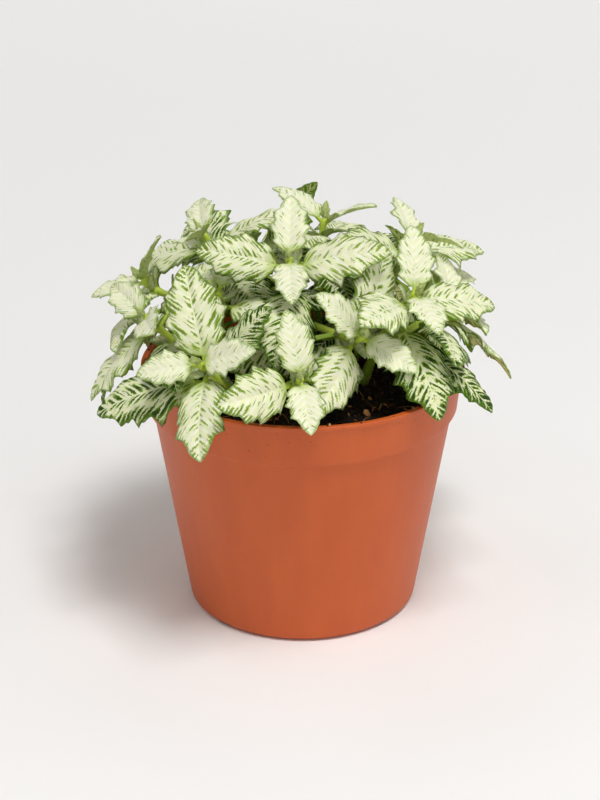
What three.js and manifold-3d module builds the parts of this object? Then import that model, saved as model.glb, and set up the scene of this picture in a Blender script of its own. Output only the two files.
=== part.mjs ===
// A nerve plant in a 12 cm nursery pot: the pot, its soil and seven forked cuttings with decussate pairs of
// toothed leaves. Millimetres, +Z up. The origin is the middle of the pot's underside, and the plant's best
// side faces -Y.

import * as THREE from "three";
import { mergeVertices } from "three/addons/utils/BufferGeometryUtils.js";
import Module from "manifold-3d";

const wasm = await Module();
wasm.setup();

// ---------------------------------------------------------------- driving dimensions

const pot = {
  sides: 32,
  height: 95,
  rimRadius: 60,
  lipWidth: 2.2,
  lipHeight: 1.6,
  lipStep: 0.8, // how far the lip stands out past the collar
  collarHeight: 16,
  collarTaper: 1.6, // the collar is this much narrower at its lower edge
  shoulder: 1.6, // step from the collar in to the body
  baseRadius: 43,
  baseChamfer: 1.8,
  wall: 1.2,
  footWidth: 4, // the ring that it stands on
  hubRadius: 15, // the disc in the middle that stands level with the ring
  channelDepth: 2, // recess between hub and ring, where the drain holes are
  channelDraft: 1, // how far each of its sides slopes
  floorThickness: 1.4,
};
const drains = { count: 8, radius: 4, circleRadius: 27, sides: 8 };
const notches = { count: 4, width: 5, height: 1.5 }; // in the ring that it stands on
const soil = {
  belowRim: 8,
  mound: 4, // how much higher it is in the middle
  lump: 0.9, // height of its lumps
  gap: 0.3,
  rings: [16, 31, 45], // radii at which the lumpy surface is measured
};
const stem = {
  sides: 5,
  steps: 6,
  footRadius: 2.2,
  tipRadius: 1.1,
  buried: 22,
  holeGap: 0.35,
  holeShare: 0.5, // its hole in the soil is made from this share of the first shoot
  bud: 5, // length of the pointed bud at the tip, two unopened leaves
  lean: 0.3, // slope of a tip over the pot's middle
  leanGrowth: 0.008, // and how much steeper it leans for each mm outwards
  sunward: 0.4, // all tips lean this much more towards -Y, where the light came from
  forkSpread: 0.9, // how far a side shoot starts away from the stem it grows on
  riseShare: 0.4, // share of a shoot's reach that it keeps its first direction
  tipShare: 0.35, // and its last one
};
const blade = {
  length: 43, // a full-grown leaf, without its stalk
  widthShare: 0.6,
  youngWidthShare: 0.68,
  baseFullness: 0.66, // lower is rounder at the base
  tipFullness: 0.9, // lower is rounder at the tip
  halfThickness: 0.35,
  ribDepth: 0.6, // how far the midrib stands out underneath
  stalkHalfWidth: 1.0,
  youngStalkShare: 0.55, // the thinnest stalk's width as a share of that
  stalkLift: 0.6, // the stalk's thickness as a share of its width
  rootInset: 0.7, // the stalk starts this far from the shoot's middle line
  toothOut: 1.1,
  toothIn: 0.83,
  toothPeak: 0.72, // where in each tooth its point is
  waves: 2.6, // ruffles along each margin
  waveShift: 0.4, // the right margin's ruffles run this far ahead of the left one's
  middleLine: 0.55, // where between rib and margin the blade bends
};
// Leaf pairs from a shoot's tip down: distance below the tip, share of full size, stalk length, angle to the
// stem, droop, how much the face turns to the light, how much a rising leaf levels out, its cross-section,
// and the teeth and rows it is drawn with.
const ages = [
  { down: 1.5, size: 0.5, stalk: 3, angle: 56, droop: 30, light: 0.1, level: 0,
    fold: 0.34, arch: 0.25, wave: 0.7, teeth: 4, rows: 3 },
  { down: 8, size: 0.75, stalk: 6, angle: 62, droop: 42, light: 0.2, level: 0.2,
    fold: 0.26, arch: 0.4, wave: 1.2, teeth: 4, rows: 4 },
  { down: 17, size: 0.94, stalk: 9, angle: 66, droop: 50, light: 0.3, level: 0.4,
    fold: 0.22, arch: 0.45, wave: 1.6, teeth: 5, rows: 4 },
  { down: 27, size: 1.0, stalk: 12, angle: 68, droop: 54, light: 0.4, level: 0.5,
    fold: 0.2, arch: 0.45, wave: 1.8, teeth: 6, rows: 4 },
];
const vary = { turn: 8, angle: 6, roll: 10, droop: 8, size: 0.08, phase: 0.5 };
// Each cutting: where it leaves the soil, and its shoots. tip is the shoot's end, turn is the direction of
// its top leaf pair in degrees, and from is the share of the first shoot at which a side shoot leaves it.
const cuttings = [
  { root: [-15, 8], shoots: [
    { tip: [-37, 19, 138], pairs: 4, turn: 85 },
    { tip: [-60, 21, 119], pairs: 4, turn: 160, from: 0.5 },
  ] },
  { root: [-4, -6], shoots: [
    { tip: [-5, -18, 142], pairs: 4, turn: 90 },
    { tip: [21, -35, 119], pairs: 3, turn: 150, from: 0.5 },
  ] },
  { root: [20, -10], shoots: [
    { tip: [40, -24, 131], pairs: 4, turn: 100 },
    { tip: [55, 4, 117], pairs: 4, turn: 110, from: 0.5 },
  ] },
  { root: [-16, -26], shoots: [
    { tip: [-36, -50, 115], pairs: 4, turn: 5 },
    { tip: [-1, -56, 112], pairs: 3, turn: 105, from: 0.5 },
  ] },
  { root: [6, 18], shoots: [
    { tip: [8, 30, 140], pairs: 4, turn: 150 },
    { tip: [-23, 55, 117], pairs: 4, turn: 100, from: 0.5 },
  ] },
  { root: [24, 16], shoots: [
    { tip: [42, 31, 132], pairs: 4, turn: 125 },
    { tip: [16, 60, 115], pairs: 4, turn: 170, from: 0.5 },
    { tip: [50, 33, 114], pairs: 3, turn: 50, from: 0.45 },
  ] },
  { root: [-28, -8], shoots: [
    { tip: [-57, -13, 118], pairs: 4, turn: 120 },
    { tip: [-31, -14, 128], pairs: 3, turn: 60, from: 0.4 },
  ] },
];
// Room between the points that stand for a leaf and those for other leaves, stems and the pot.
const spacing = {
  leaf: 2.8,
  stem: 3.8,
  pot: 2.4,
  rows: 12,
  columns: 9,
  stalkShares: [0.25, 0.5, 0.75],
  stemStep: 2.5,
  nearStem: 0.15, // up to this share of its length a blade counts as near its own shoot
  farApart: 0.6, // leaves whose middles are further apart than this share of both their lengths can't meet
  tight: -0.2, // a leaf with less room than this is left off
};
// The bends that a leaf tries until it is clear of what grew before it: whole steps of these sizes, how many
// of them each way, and what each costs.
const bendStep = { pitch: 9, yaw: 11, roll: 16, shrink: 0.09 };
const bendReach = { pitch: 4, yaw: 3, roll: 2, shrink: 3 };
const bendCost = { pitch: 1, yaw: 1, roll: 2, shrink: 3 };

const looks = {
  pot: { color: 0xb5592f, roughness: 0.6 },
  soil: { color: 0x2a1d14, roughness: 0.95 },
  leaf: { color: 0xa9bd7a, roughness: 0.5 },
};

// ---------------------------------------------------------------- small helpers

const radians = THREE.MathUtils.degToRad;
const upwards = new THREE.Vector3(0, 0, 1);
const sunwards = new THREE.Vector3(0, -0.4, 1).normalize();

// A number from -1 to 1 that differs from leaf to leaf and use to use, the same on every run.
function spread(index, use) {
  const x = index * 0.6180339887 + use * 0.7548776662;
  return 2 * (x - Math.floor(x)) - 1;
}

function solidOf(geometry) {
  const bare = geometry.clone();
  for (const name of ["normal", "uv"]) bare.deleteAttribute(name);
  const merged = mergeVertices(bare, 1e-4);
  return new wasm.Manifold(
    new wasm.Mesh({
      numProp: 3,
      vertProperties: new Float32Array(merged.attributes.position.array),
      triVerts: new Uint32Array(merged.index.array),
    }),
  );
}

function geometryOf(solid) {
  const { vertProperties, triVerts } = solid.getMesh();
  const geometry = new THREE.BufferGeometry();
  geometry.setAttribute("position", new THREE.BufferAttribute(vertProperties, 3));
  geometry.setIndex(new THREE.BufferAttribute(triVerts, 1));
  geometry.computeVertexNormals();
  return geometry;
}

function closedGeometry(positions, faces) {
  const geometry = new THREE.BufferGeometry();
  geometry.setAttribute("position", new THREE.Float32BufferAttribute(positions, 3));
  geometry.setIndex(faces);
  return geometry;
}

// Turns a profile of [radius, height] points round the Z axis.
function turned(profile) {
  const points = profile.map(([radius, height]) => new THREE.Vector2(radius, height));
  return new THREE.LatheGeometry(points, pot.sides).rotateX(Math.PI / 2);
}

function cutAll(solid, tools) {
  return tools.reduce((left, tool) => left.subtract(tool), solid);
}

function mesh(name, solid, look) {
  const made = new THREE.Mesh(geometryOf(solid), new THREE.MeshStandardMaterial({ ...look, metalness: 0 }));
  made.name = name;
  return made;
}

// ---------------------------------------------------------------- pot

const collarFoot = pot.height - pot.collarHeight;
const collarFootRadius = pot.rimRadius - pot.lipStep - pot.collarTaper;
const bodyTopRadius = collarFootRadius - pot.shoulder;
const floorTop = pot.channelDepth + pot.floorThickness;

// The body's outer and inner radius at a height below the collar.
function bodyRadius(height) {
  return THREE.MathUtils.mapLinear(height, 0, collarFoot, pot.baseRadius, bodyTopRadius);
}
const innerRadius = (height) => bodyRadius(height) - pot.wall;

function potSolid() {
  const lipFoot = pot.height - pot.lipHeight;
  const ringOut = pot.baseRadius - pot.baseChamfer;
  const ringIn = ringOut - pot.footWidth;
  const profile = [
    [0, 0],
    [pot.hubRadius, 0],
    [pot.hubRadius + pot.channelDraft, pot.channelDepth],
    [ringIn - pot.channelDraft, pot.channelDepth],
    [ringIn, 0],
    [ringOut, 0],
    [bodyRadius(pot.baseChamfer), pot.baseChamfer],
    [bodyTopRadius, collarFoot],
    [collarFootRadius, collarFoot],
    [pot.rimRadius - pot.lipStep, lipFoot],
    [pot.rimRadius, lipFoot],
    [pot.rimRadius, pot.height],
    [pot.rimRadius - pot.lipWidth, pot.height],
    [collarFootRadius - pot.wall, collarFoot + pot.wall],
    [innerRadius(collarFoot - pot.wall), collarFoot - pot.wall],
    [innerRadius(floorTop), floorTop],
    [0, floorTop],
  ];
  const cuts = [];
  for (let i = 0; i < drains.count; i++) {
    const hole = new THREE.CylinderGeometry(drains.radius, drains.radius, 3 * floorTop, drains.sides);
    hole.rotateX(Math.PI / 2);
    hole.translate(drains.circleRadius, 0, 0);
    cuts.push(solidOf(hole.rotateZ((2 * Math.PI * i) / drains.count)));
  }
  for (let i = 0; i < notches.count; i++) {
    const notch = new THREE.BoxGeometry(3 * pot.footWidth, notches.width, 2 * notches.height);
    notch.translate(ringOut - pot.footWidth / 2, 0, 0);
    cuts.push(solidOf(notch.rotateZ((2 * Math.PI * (i + 0.5)) / notches.count)));
  }
  return cutAll(solidOf(turned(profile)), cuts);
}

// ---------------------------------------------------------------- soil

const soilRim = pot.height - soil.belowRim;
const soilRadius = innerRadius(collarFoot) + pot.collarTaper / 2;

// The soil's surface: a low mound with lumps that fade out at the wall.
function soilHeight(x, y) {
  const fade = 1 - (x * x + y * y) / (soilRadius * soilRadius);
  const lumps = Math.sin(0.21 * x + 1.3) * Math.cos(0.19 * y - 0.4) + 0.6 * Math.sin(0.37 * x - 0.31 * y);
  return soilRim + (soil.mound + soil.lump * lumps) * fade;
}

function soilSolid(shafts) {
  const bottom = floorTop + soil.gap;
  const profile = [
    [0, bottom],
    [innerRadius(bottom) - soil.gap, bottom],
    [innerRadius(collarFoot - pot.wall) - soil.gap, collarFoot - pot.wall],
    [soilRadius, soilRim],
    ...soil.rings.toReversed().map((radius) => [radius, pot.height]),
    [0, pot.height],
  ];
  const geometry = turned(profile);
  const place = geometry.attributes.position;
  for (let i = 0; i < place.count; i++)
    if (place.getZ(i) > soilRim + 0.1) place.setZ(i, soilHeight(place.getX(i), place.getY(i)));
  return cutAll(solidOf(geometry), shafts);
}

// ---------------------------------------------------------------- shoots

// A shoot's middle line, which starts along rise and ends leaning away from the pot's middle.
function shootCurve(start, tip, rise) {
  const reach = start.distanceTo(tip);
  const outwards = new THREE.Vector3(tip.x, tip.y, 0);
  const slope = stem.lean + stem.leanGrowth * outwards.length();
  const end = outwards.setLength(slope).add(new THREE.Vector3(0, -stem.sunward, 1)).normalize();
  const first = start.clone().addScaledVector(rise, stem.riseShare * reach);
  const last = tip.clone().addScaledVector(end, -stem.tipShare * reach);
  return new THREE.CubicBezierCurve3(start, first, last, tip);
}

function growShoots() {
  const shoots = [];
  cuttings.forEach(({ root: [x, y], shoots: rows }, cutting) => {
    let mainCurve;
    for (const row of rows) {
      const tip = new THREE.Vector3(...row.tip);
      let start = new THREE.Vector3(x, y, soilHeight(x, y) - stem.buried);
      let rise = upwards;
      if (row.from) {
        start = mainCurve.getPoint(row.from);
        const away = new THREE.Vector3(tip.x - start.x, tip.y - start.y, 0).normalize();
        rise = mainCurve.getTangent(row.from).addScaledVector(away, stem.forkSpread).normalize();
      }
      const curve = shootCurve(start, tip, rise);
      mainCurve ??= curve;
      shoots.push({ ...row, cutting, curve, reach: start.distanceTo(tip) });
    }
  });
  return shoots;
}

// Two directions square to a stem: across starts from the X axis.
function crossAxes(direction) {
  const across = new THREE.Vector3(1, 0, 0).addScaledVector(direction, -direction.x).normalize();
  return { across, over: new THREE.Vector3().crossVectors(direction, across) };
}

// A tapered tube along a curve up to share end, with a nose at its foot and at its tip.
function tube(curve, { steps, end, radiusAt, footNose, tipNose }) {
  const positions = [];
  const faces = [];
  for (let i = 0; i <= steps; i++) {
    const t = (end * i) / steps;
    const { across, over } = crossAxes(curve.getTangent(t));
    for (let k = 0; k < stem.sides; k++) {
      const angle = (2 * Math.PI * k) / stem.sides;
      const corner = curve.getPoint(t).addScaledVector(across, radiusAt(t) * Math.cos(angle));
      positions.push(...corner.addScaledVector(over, radiusAt(t) * Math.sin(angle)));
    }
  }
  positions.push(...curve.getPoint(0).addScaledVector(curve.getTangent(0), -footNose));
  positions.push(...curve.getPoint(end).addScaledVector(curve.getTangent(end), tipNose));
  const last = steps * stem.sides;
  const foot = last + stem.sides;
  for (let k = 0; k < stem.sides; k++) {
    const next = (k + 1) % stem.sides;
    for (let i = 0; i < last; i += stem.sides) {
      const above = i + stem.sides;
      faces.push(i + k, i + next, above + next, i + k, above + next, above + k);
    }
    faces.push(foot, next, k, foot + 1, last + k, last + next);
  }
  return solidOf(closedGeometry(positions, faces));
}

const stemRadius = (share) => THREE.MathUtils.lerp(stem.footRadius, stem.tipRadius, share);

function shootSolid({ curve, from = 0 }) {
  const radiusAt = (t) => stemRadius(from + t * (1 - from));
  return tube(curve, { steps: stem.steps, end: 1, radiusAt, footNose: 0, tipNose: stem.bud });
}

// The plain hole that a cutting stands in: the lower part of its first shoot, widened all round.
function shaftSolid({ curve }) {
  const radiusAt = (t) => stemRadius(t) + stem.holeGap;
  const steps = stem.steps * stem.holeShare;
  return tube(curve, { steps, end: stem.holeShare, radiusAt, footNose: stem.holeGap, tipNose: 0 });
}

// ---------------------------------------------------------------- leaf shape

// Half the blade's width at share v of its length. The stalk is where v is below 0.
function halfWidth(leaf, v) {
  if (v <= 0) return leaf.stalkHalf;
  if (v >= 1) return 0;
  const { baseFullness: p, tipFullness: q } = blade;
  const widest = p / (p + q);
  const shape = (v / widest) ** p * ((1 - v) / (1 - widest)) ** q;
  return leaf.halfWidth * shape + leaf.stalkHalf * (1 - v) * (1 - v);
}

// A point of a leaf: share v along its blade, share t across it, and lift above its middle surface. The rib
// droops in an arc, and the blade is folded at the rib, arched towards its margins and ruffled there.
function onLeaf(leaf, v, t, lift) {
  const x = Math.abs(t) * halfWidth(leaf, v);
  const share = x / leaf.halfWidth;
  const wave = Math.sin(2 * Math.PI * (blade.waves * v + leaf.phase + (t > 0 ? blade.waveShift : 0)));
  const height = leaf.fold * x - leaf.arch * share * x + leaf.wave * share * share * wave + lift;
  const radius = leaf.path / leaf.droop;
  const turnedBy = (leaf.stalk + v * leaf.length) / radius;
  return leaf.root
    .clone()
    .addScaledVector(leaf.out, (radius + height) * Math.sin(turnedBy))
    .addScaledVector(leaf.up, (radius + height) * Math.cos(turnedBy) - radius)
    .addScaledVector(leaf.side, Math.sign(t) * x);
}

// A leaf's frame and sizes from its seat on a shoot and a bend of [pitch, yaw, roll, shrink] steps.
function shapeLeaf(seat, [pitch, yaw, roll, shrink]) {
  const { shoot, age, facing, index } = seat;
  const row = ages[age];
  const place = 1 - row.down / shoot.reach;
  const direction = shoot.curve.getTangent(place);
  const { across, over } = crossAxes(direction);
  const ownTurn = vary.turn * spread(index, 1) + bendStep.yaw * yaw;
  const turn = radians(shoot.turn + 90 * age + 180 * facing + ownTurn);
  const angle = radians(row.angle + vary.angle * spread(index, 2) + bendStep.pitch * pitch);
  const out = direction
    .clone()
    .multiplyScalar(Math.cos(angle))
    .addScaledVector(across, Math.sin(angle) * Math.cos(turn))
    .addScaledVector(over, Math.sin(angle) * Math.sin(turn));
  if (out.z > 0) out.setZ(out.z * (1 - row.level)).normalize();
  const up = direction.clone().addScaledVector(out, -direction.dot(out)).setLength(1 - row.light);
  up.addScaledVector(sunwards, row.light).addScaledVector(out, -row.light * out.dot(sunwards)).normalize();
  up.applyAxisAngle(out, radians(vary.roll * spread(index, 3) + bendStep.roll * roll));
  const size = row.size * (1 + vary.size * spread(index, 4)) * (1 - bendStep.shrink * shrink);
  const length = blade.length * size;
  const widthShare = THREE.MathUtils.lerp(blade.youngWidthShare, blade.widthShare, row.size);
  return {
    ...row,
    ...seat,
    root: shoot.curve.getPoint(place),
    out,
    up,
    side: new THREE.Vector3().crossVectors(up, out),
    length,
    path: row.stalk + length,
    halfWidth: (length * widthShare) / 2,
    stalkHalf: blade.stalkHalfWidth * THREE.MathUtils.lerp(blade.youngStalkShare, 1, row.size),
    droop: radians(row.droop + vary.droop * spread(index, 5)),
    phase: vary.phase * spread(index, 6),
  };
}

// ---------------------------------------------------------------- leaves set apart

// Points all over a leaf that stand for it, in two lists: near its shoot, and the rest.
function leafPoints(leaf) {
  const near = spacing.stalkShares.map((share) => onLeaf(leaf, (-share * leaf.stalk) / leaf.length, 0, 0));
  const far = [];
  for (let i = 0; i <= spacing.rows; i++)
    for (let k = 0; k < spacing.columns; k++) {
      const v = i / spacing.rows;
      const t = (2 * k) / (spacing.columns - 1) - 1;
      (v < spacing.nearStem ? near : far).push(onLeaf(leaf, v, t, 0));
    }
  return { near, far, all: [...near, ...far] };
}

function stemPoints({ curve, reach }) {
  return curve.getPoints(Math.ceil(reach / spacing.stemStep));
}

function leastGap(points, others) {
  let least = Infinity;
  for (const point of points)
    for (const other of others) least = Math.min(least, point.distanceToSquared(other));
  return Math.sqrt(least);
}

// How far a point is from the pot's wall and the soil.
function roomToPot({ x, y, z }) {
  const radius = Math.hypot(x, y);
  const pastRim = Math.max(radius - pot.rimRadius, pot.rimRadius - pot.lipWidth - radius);
  if (z > pot.height) return Math.hypot(Math.max(0, pastRim), z - pot.height);
  if (radius > pot.rimRadius - pot.lipWidth) return radius - pot.rimRadius;
  return Math.min(innerRadius(collarFoot) - radius, z - soilHeight(x, y));
}

// The least room that a leaf has beyond what it needs: 0 or more is clear. It is only worked out while it is
// above floor.
function roomRound(leaf, placed, stems, floor) {
  const { near, far, all } = leaf.points;
  let room = Math.min(...all.map(roomToPot)) - spacing.pot;
  for (const other of placed) {
    const apart = leaf.middle.distanceTo(other.middle);
    if (room < floor || apart > spacing.farApart * (leaf.path + other.path)) continue;
    const gap =
      other.shoot === leaf.shoot
        ? Math.min(leastGap(near, other.points.far), leastGap(far, other.points.all))
        : leastGap(all, other.points.all);
    room = Math.min(room, gap - spacing.leaf);
  }
  for (const { shoot, points } of stems) {
    if (room < floor || shoot === leaf.shoot) continue;
    const gap = leastGap(shoot.cutting === leaf.shoot.cutting ? far : all, points);
    room = Math.min(room, gap - spacing.stem);
  }
  return room;
}

// Every bend, the smallest first.
function bendsToTry() {
  const steps = (reach) => Array.from({ length: 2 * reach + 1 }, (_, i) => i - reach);
  const bends = [];
  for (const pitch of steps(bendReach.pitch))
    for (const yaw of steps(bendReach.yaw))
      for (const roll of steps(bendReach.roll))
        for (let shrink = 0; shrink <= bendReach.shrink; shrink++) bends.push([pitch, yaw, roll, shrink]);
  const costs = Object.values(bendCost);
  const effort = (bend) => bend.reduce((sum, step, i) => sum + costs[i] * step * step, 0);
  return bends.sort((a, b) => effort(a) - effort(b));
}

// The seat's leaf with the smallest bend that is clear of all that is placed, or else the roomiest one.
function clearLeaf(seat, bends, placed, stems) {
  let best = { room: -Infinity };
  for (const bend of bends) {
    const leaf = shapeLeaf(seat, bend);
    leaf.middle = onLeaf(leaf, 0.5, 0, 0);
    leaf.points = leafPoints(leaf);
    leaf.room = roomRound(leaf, placed, stems, Math.max(best.room, spacing.tight));
    if (leaf.room > best.room) best = leaf;
    if (best.room >= 0) break;
  }
  return best;
}

// Sets the leaves one by one, the youngest pairs of all the shoots first.
function growLeaves(shoots) {
  const stems = shoots.map((shoot) => ({ shoot, points: stemPoints(shoot) }));
  const bends = bendsToTry();
  const placed = [];
  let index = 0;
  for (const age of ages.keys())
    for (const shoot of shoots.filter(({ pairs }) => age < pairs))
      for (const facing of [0, 1]) {
        const leaf = clearLeaf({ shoot, age, facing, index }, bends, placed, stems);
        if (leaf.room >= spacing.tight) placed.push(leaf);
        index += 1;
      }
  return placed;
}

// ---------------------------------------------------------------- leaf solid

// One leaf: stalk, midrib and a toothed, waved blade that is split into triangles alike on both faces. Its
// lines run from stalk to tip, and each of their points is a twin, one on the upper face and one below it.
function leafSolid(leaf) {
  const positions = [];
  const faces = [];
  const addPoint = (v, t, lift) => positions.push(...onLeaf(leaf, v, t, lift)) / 3 - 1;
  const addFace = (a, b, c) => {
    if (a !== b && b !== c && c !== a) faces.push(a, b, c);
  };
  const twin = (v, t) => {
    if (v <= 0 && t !== 0) {
      const edge = addPoint(v, t, 0);
      return { v, top: edge, under: edge };
    }
    const rib = t === 0 ? blade.ribDepth * Math.min(1, 1 - v) : 0;
    const half = v <= 0 ? blade.stalkLift * leaf.stalkHalf : blade.halfThickness;
    return { v, top: addPoint(v, t, half), under: addPoint(v, t, -half - rib) };
  };
  const fillBetween = (left, right) => {
    let [i, j] = [0, 0];
    while (i < left.length - 1 || j < right.length - 1) {
      const [a, b] = [left[i], right[j]];
      const goLeft = j === right.length - 1 || (i < left.length - 1 && left[i + 1].v <= right[j + 1].v);
      const c = goLeft ? left[++i] : right[++j];
      addFace(a.top, c.top, b.top);
      addFace(a.under, b.under, c.under);
    }
  };
  const closeEdge = (line) => {
    for (let i = 1; i < line.length; i++) {
      const [a, b] = [line[i - 1], line[i]];
      addFace(a.top, b.top, b.under);
      addFace(a.top, b.under, a.under);
    }
  };

  const root = (blade.rootInset - leaf.stalk) / leaf.length;
  const stalkPlaces = leaf.rows > 3 ? [root, root / 2, 0] : [root, 0];
  const stalk = [-1, 0, 1].map((t) => stalkPlaces.map((v) => twin(v, t)));
  fillBetween(stalk[0], stalk[1]);
  fillBetween(stalk[1], stalk[2]);
  closeEdge(stalk.map(([end]) => end));

  const tip = twin(1, 0);
  const ribPlaces = Array.from({ length: leaf.rows - 1 }, (_, i) => (i + 1) / leaf.rows);
  const rib = [stalk[1].at(-1), ...ribPlaces.map((v) => twin(v, 0)), tip];
  for (const side of [-1, 1]) {
    const teeth = [];
    for (let i = 0; i < leaf.teeth; i++) {
      if (i > 0) teeth.push(twin(i / leaf.teeth, side * blade.toothIn));
      teeth.push(twin((i + blade.toothPeak) / leaf.teeth, side * blade.toothOut));
    }
    const margin = [...stalk[side + 1], ...teeth, tip];
    const lines = [rib, margin.slice(stalkPlaces.length - 1)];
    if (leaf.rows > 3) {
      const middle = ribPlaces.map((v) => twin(v, side * blade.middleLine));
      lines.splice(1, 0, [rib[0], ...middle, tip]);
    }
    for (let i = 1; i < lines.length; i++)
      if (side > 0) fillBetween(lines[i - 1], lines[i]);
      else fillBetween(lines[i], lines[i - 1]);
    closeEdge(side > 0 ? margin : margin.toReversed());
  }
  return solidOf(closedGeometry(positions, faces));
}

// ---------------------------------------------------------------- the whole plant

const shoots = growShoots();
const leaves = growLeaves(shoots);

const plant = new THREE.Group();
plant.add(mesh("pot", potSolid(), looks.pot));
plant.add(mesh("soil", soilSolid(shoots.filter(({ from }) => !from).map(shaftSolid)), looks.soil));
for (const cutting of cuttings.keys()) {
  const stems = shoots.filter((shoot) => shoot.cutting === cutting).map(shootSolid);
  const foliage = leaves.filter(({ shoot }) => shoot.cutting === cutting).map(leafSolid);
  const whole = [...stems, ...foliage].reduce((left, piece) => left.add(piece));
  plant.add(mesh(`leafy_stem_${cutting + 1}`, whole, looks.leaf));
}

export default plant;
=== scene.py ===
import math

import bpy
import numpy as np
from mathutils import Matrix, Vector


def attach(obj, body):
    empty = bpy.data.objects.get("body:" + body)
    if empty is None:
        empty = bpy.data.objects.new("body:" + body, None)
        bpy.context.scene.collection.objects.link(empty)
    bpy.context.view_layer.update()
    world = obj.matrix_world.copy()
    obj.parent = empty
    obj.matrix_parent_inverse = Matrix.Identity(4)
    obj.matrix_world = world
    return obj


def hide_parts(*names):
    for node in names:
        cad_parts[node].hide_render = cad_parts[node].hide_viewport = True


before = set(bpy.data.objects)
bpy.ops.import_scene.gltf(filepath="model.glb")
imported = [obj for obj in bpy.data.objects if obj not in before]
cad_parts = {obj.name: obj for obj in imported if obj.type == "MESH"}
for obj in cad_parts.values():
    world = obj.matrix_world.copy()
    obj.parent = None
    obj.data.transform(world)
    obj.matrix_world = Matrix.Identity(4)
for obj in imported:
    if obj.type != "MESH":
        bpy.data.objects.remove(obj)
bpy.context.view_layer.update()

# a nerve plant in its nursery pot. Shapes are in millimetres, +Z up, and meshPiece makes them metres

metresPerMm = 0.001
upward = np.array([0.0, 0.0, 1.0])
print("frame loaded:", len(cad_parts), "nodes")


# what all the pieces share

def unit(vectors):  # each vector over its own length
    return vectors / np.linalg.norm(vectors, axis=-1, keepdims=True)


def smooth(x, low, high):  # 0 below low, 1 above high, 3u^2 - 2u^3 between
    u = np.clip((x - low) / (high - low), 0, 1)
    return u * u * (3 - 2 * u)


drawSteps = (0.6180339887, 0.7548776662)  # of a leaf's number and of a draw's number, as in the solids


def spread(index, use):  # -1 to 1, spread evenly over the leaves
    x = index * drawSteps[0] + use * drawSteps[1]
    return 2 * (x - math.floor(x)) - 1


def gridFaces(rows, columns):
    # corner numbers of the quads of a grid that is closed round, whose points are numbered row by row
    row = np.arange(rows - 1)[:, None] * columns
    here = np.arange(columns)[None, :]
    after = (here + 1) % columns
    return np.stack([row + here, row + after, row + columns + after, row + columns + here], -1).reshape(-1, 4)


def fanFaces(ring, centre, outward):
    # triangles from a ring of point numbers to one centre point, -1 marks the missing fourth corner
    ring = np.asarray(ring)
    after = np.roll(ring, -1)
    middle = np.full(len(ring), centre)
    pair = (ring, after) if outward else (after, ring)
    return np.stack([*pair, middle, np.full(len(ring), -1)], -1)


def closedFaces(rows, columns, outward=True):
    # a grid with a fan at its first and last row, whose centre points are the two numbers after the grid's
    grid, count = gridFaces(rows, columns), rows * columns
    return np.concatenate([grid if outward else grid[:, ::-1],
                           fanFaces(np.arange(columns), count, not outward),
                           fanFaces(np.arange(count - columns, count), count + 1, outward)])


class Body:  # points, faces and point values gathered for one mesh
    def __init__(self):
        self.points, self.faces, self.looks, self.values, self.count = [], [], [], {}, 0

    def add(self, points, faces, look=0, **values):
        points = np.asarray(points).reshape(-1, 3)
        self.points.append(points)
        self.faces.append(np.where(faces >= 0, faces + self.count, -1))
        self.looks.append(np.broadcast_to(look, len(faces)))
        for name, value in values.items():
            self.values.setdefault(name, []).append(np.broadcast_to(value, (len(points), 3)))
        self.count += len(points)


def meshPiece(name, body, materials):
    # one closed mesh at the origin from a Body, in metres, with its values as vector attributes
    points, faces = np.concatenate(body.points), np.concatenate(body.faces)
    corners = (faces >= 0).sum(axis=1)
    mesh = bpy.data.meshes.new(name)
    mesh.vertices.add(len(points))
    mesh.vertices.foreach_set("co", (points * metresPerMm).astype(np.float32).ravel())
    mesh.loops.add(int(corners.sum()))
    mesh.loops.foreach_set("vertex_index", faces[faces >= 0].astype(np.int32))
    mesh.polygons.add(len(faces))
    mesh.polygons.foreach_set("loop_start", (np.cumsum(corners) - corners).astype(np.int32))
    mesh.polygons.foreach_set("material_index", np.concatenate(body.looks).astype(np.int32))
    mesh.update(calc_edges=True)
    for valueName, chunks in body.values.items():
        field = mesh.attributes.new(valueName, "FLOAT_VECTOR", "POINT")
        field.data.foreach_set("vector", np.concatenate(chunks).astype(np.float32).ravel())
    mesh.shade_smooth()
    for material in materials:
        mesh.materials.append(material)
    piece = bpy.data.objects.new(name, mesh)
    bpy.context.scene.collection.objects.link(piece)
    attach(piece, "root")
    return piece


def latticeNoise(x, y, cell, seed):
    # random heights on a square lattice of the given cell, blended by the smooth step between its corners
    size = 256  # points a side, after which the lattice repeats
    heights = np.random.default_rng(seed).uniform(-1, 1, (size, size))
    column, row = np.floor(x / cell).astype(int), np.floor(y / cell).astype(int)
    a, b = smooth(x / cell - column, 0, 1), smooth(y / cell - row, 0, 1)
    column, row = column % size, row % size
    nextColumn, nextRow = (column + 1) % size, (row + 1) % size
    near = heights[row, column] * (1 - a) + heights[row, nextColumn] * a
    far = heights[nextRow, column] * (1 - a) + heights[nextRow, nextColumn] * a
    return near * (1 - b) + far * b


def linear(hexColour):  # sRGB hex to the linear colour that a shader takes
    channels = np.array([int(hexColour[i:i + 2], 16) for i in (1, 3, 5)]) / 255
    low, high = channels / 12.92, ((channels + 0.055) / 1.055) ** 2.4
    return (*np.where(channels <= 0.04045, low, high).tolist(), 1.0)


def node(tree, kind, links=None, output=0, **settings):
    # one shader node, of which the given output comes back: links gives its inputs as sockets or values by
    # name or number, settings are its own properties
    made = tree.nodes.new("ShaderNode" + kind)
    for key, value in settings.items():
        setattr(made, key, value)
    for key, value in (links or {}).items():
        if isinstance(value, bpy.types.NodeSocket):
            tree.links.new(value, made.inputs[key])
        else:
            made.inputs[key].default_value = value
    return made.outputs[output]


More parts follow.
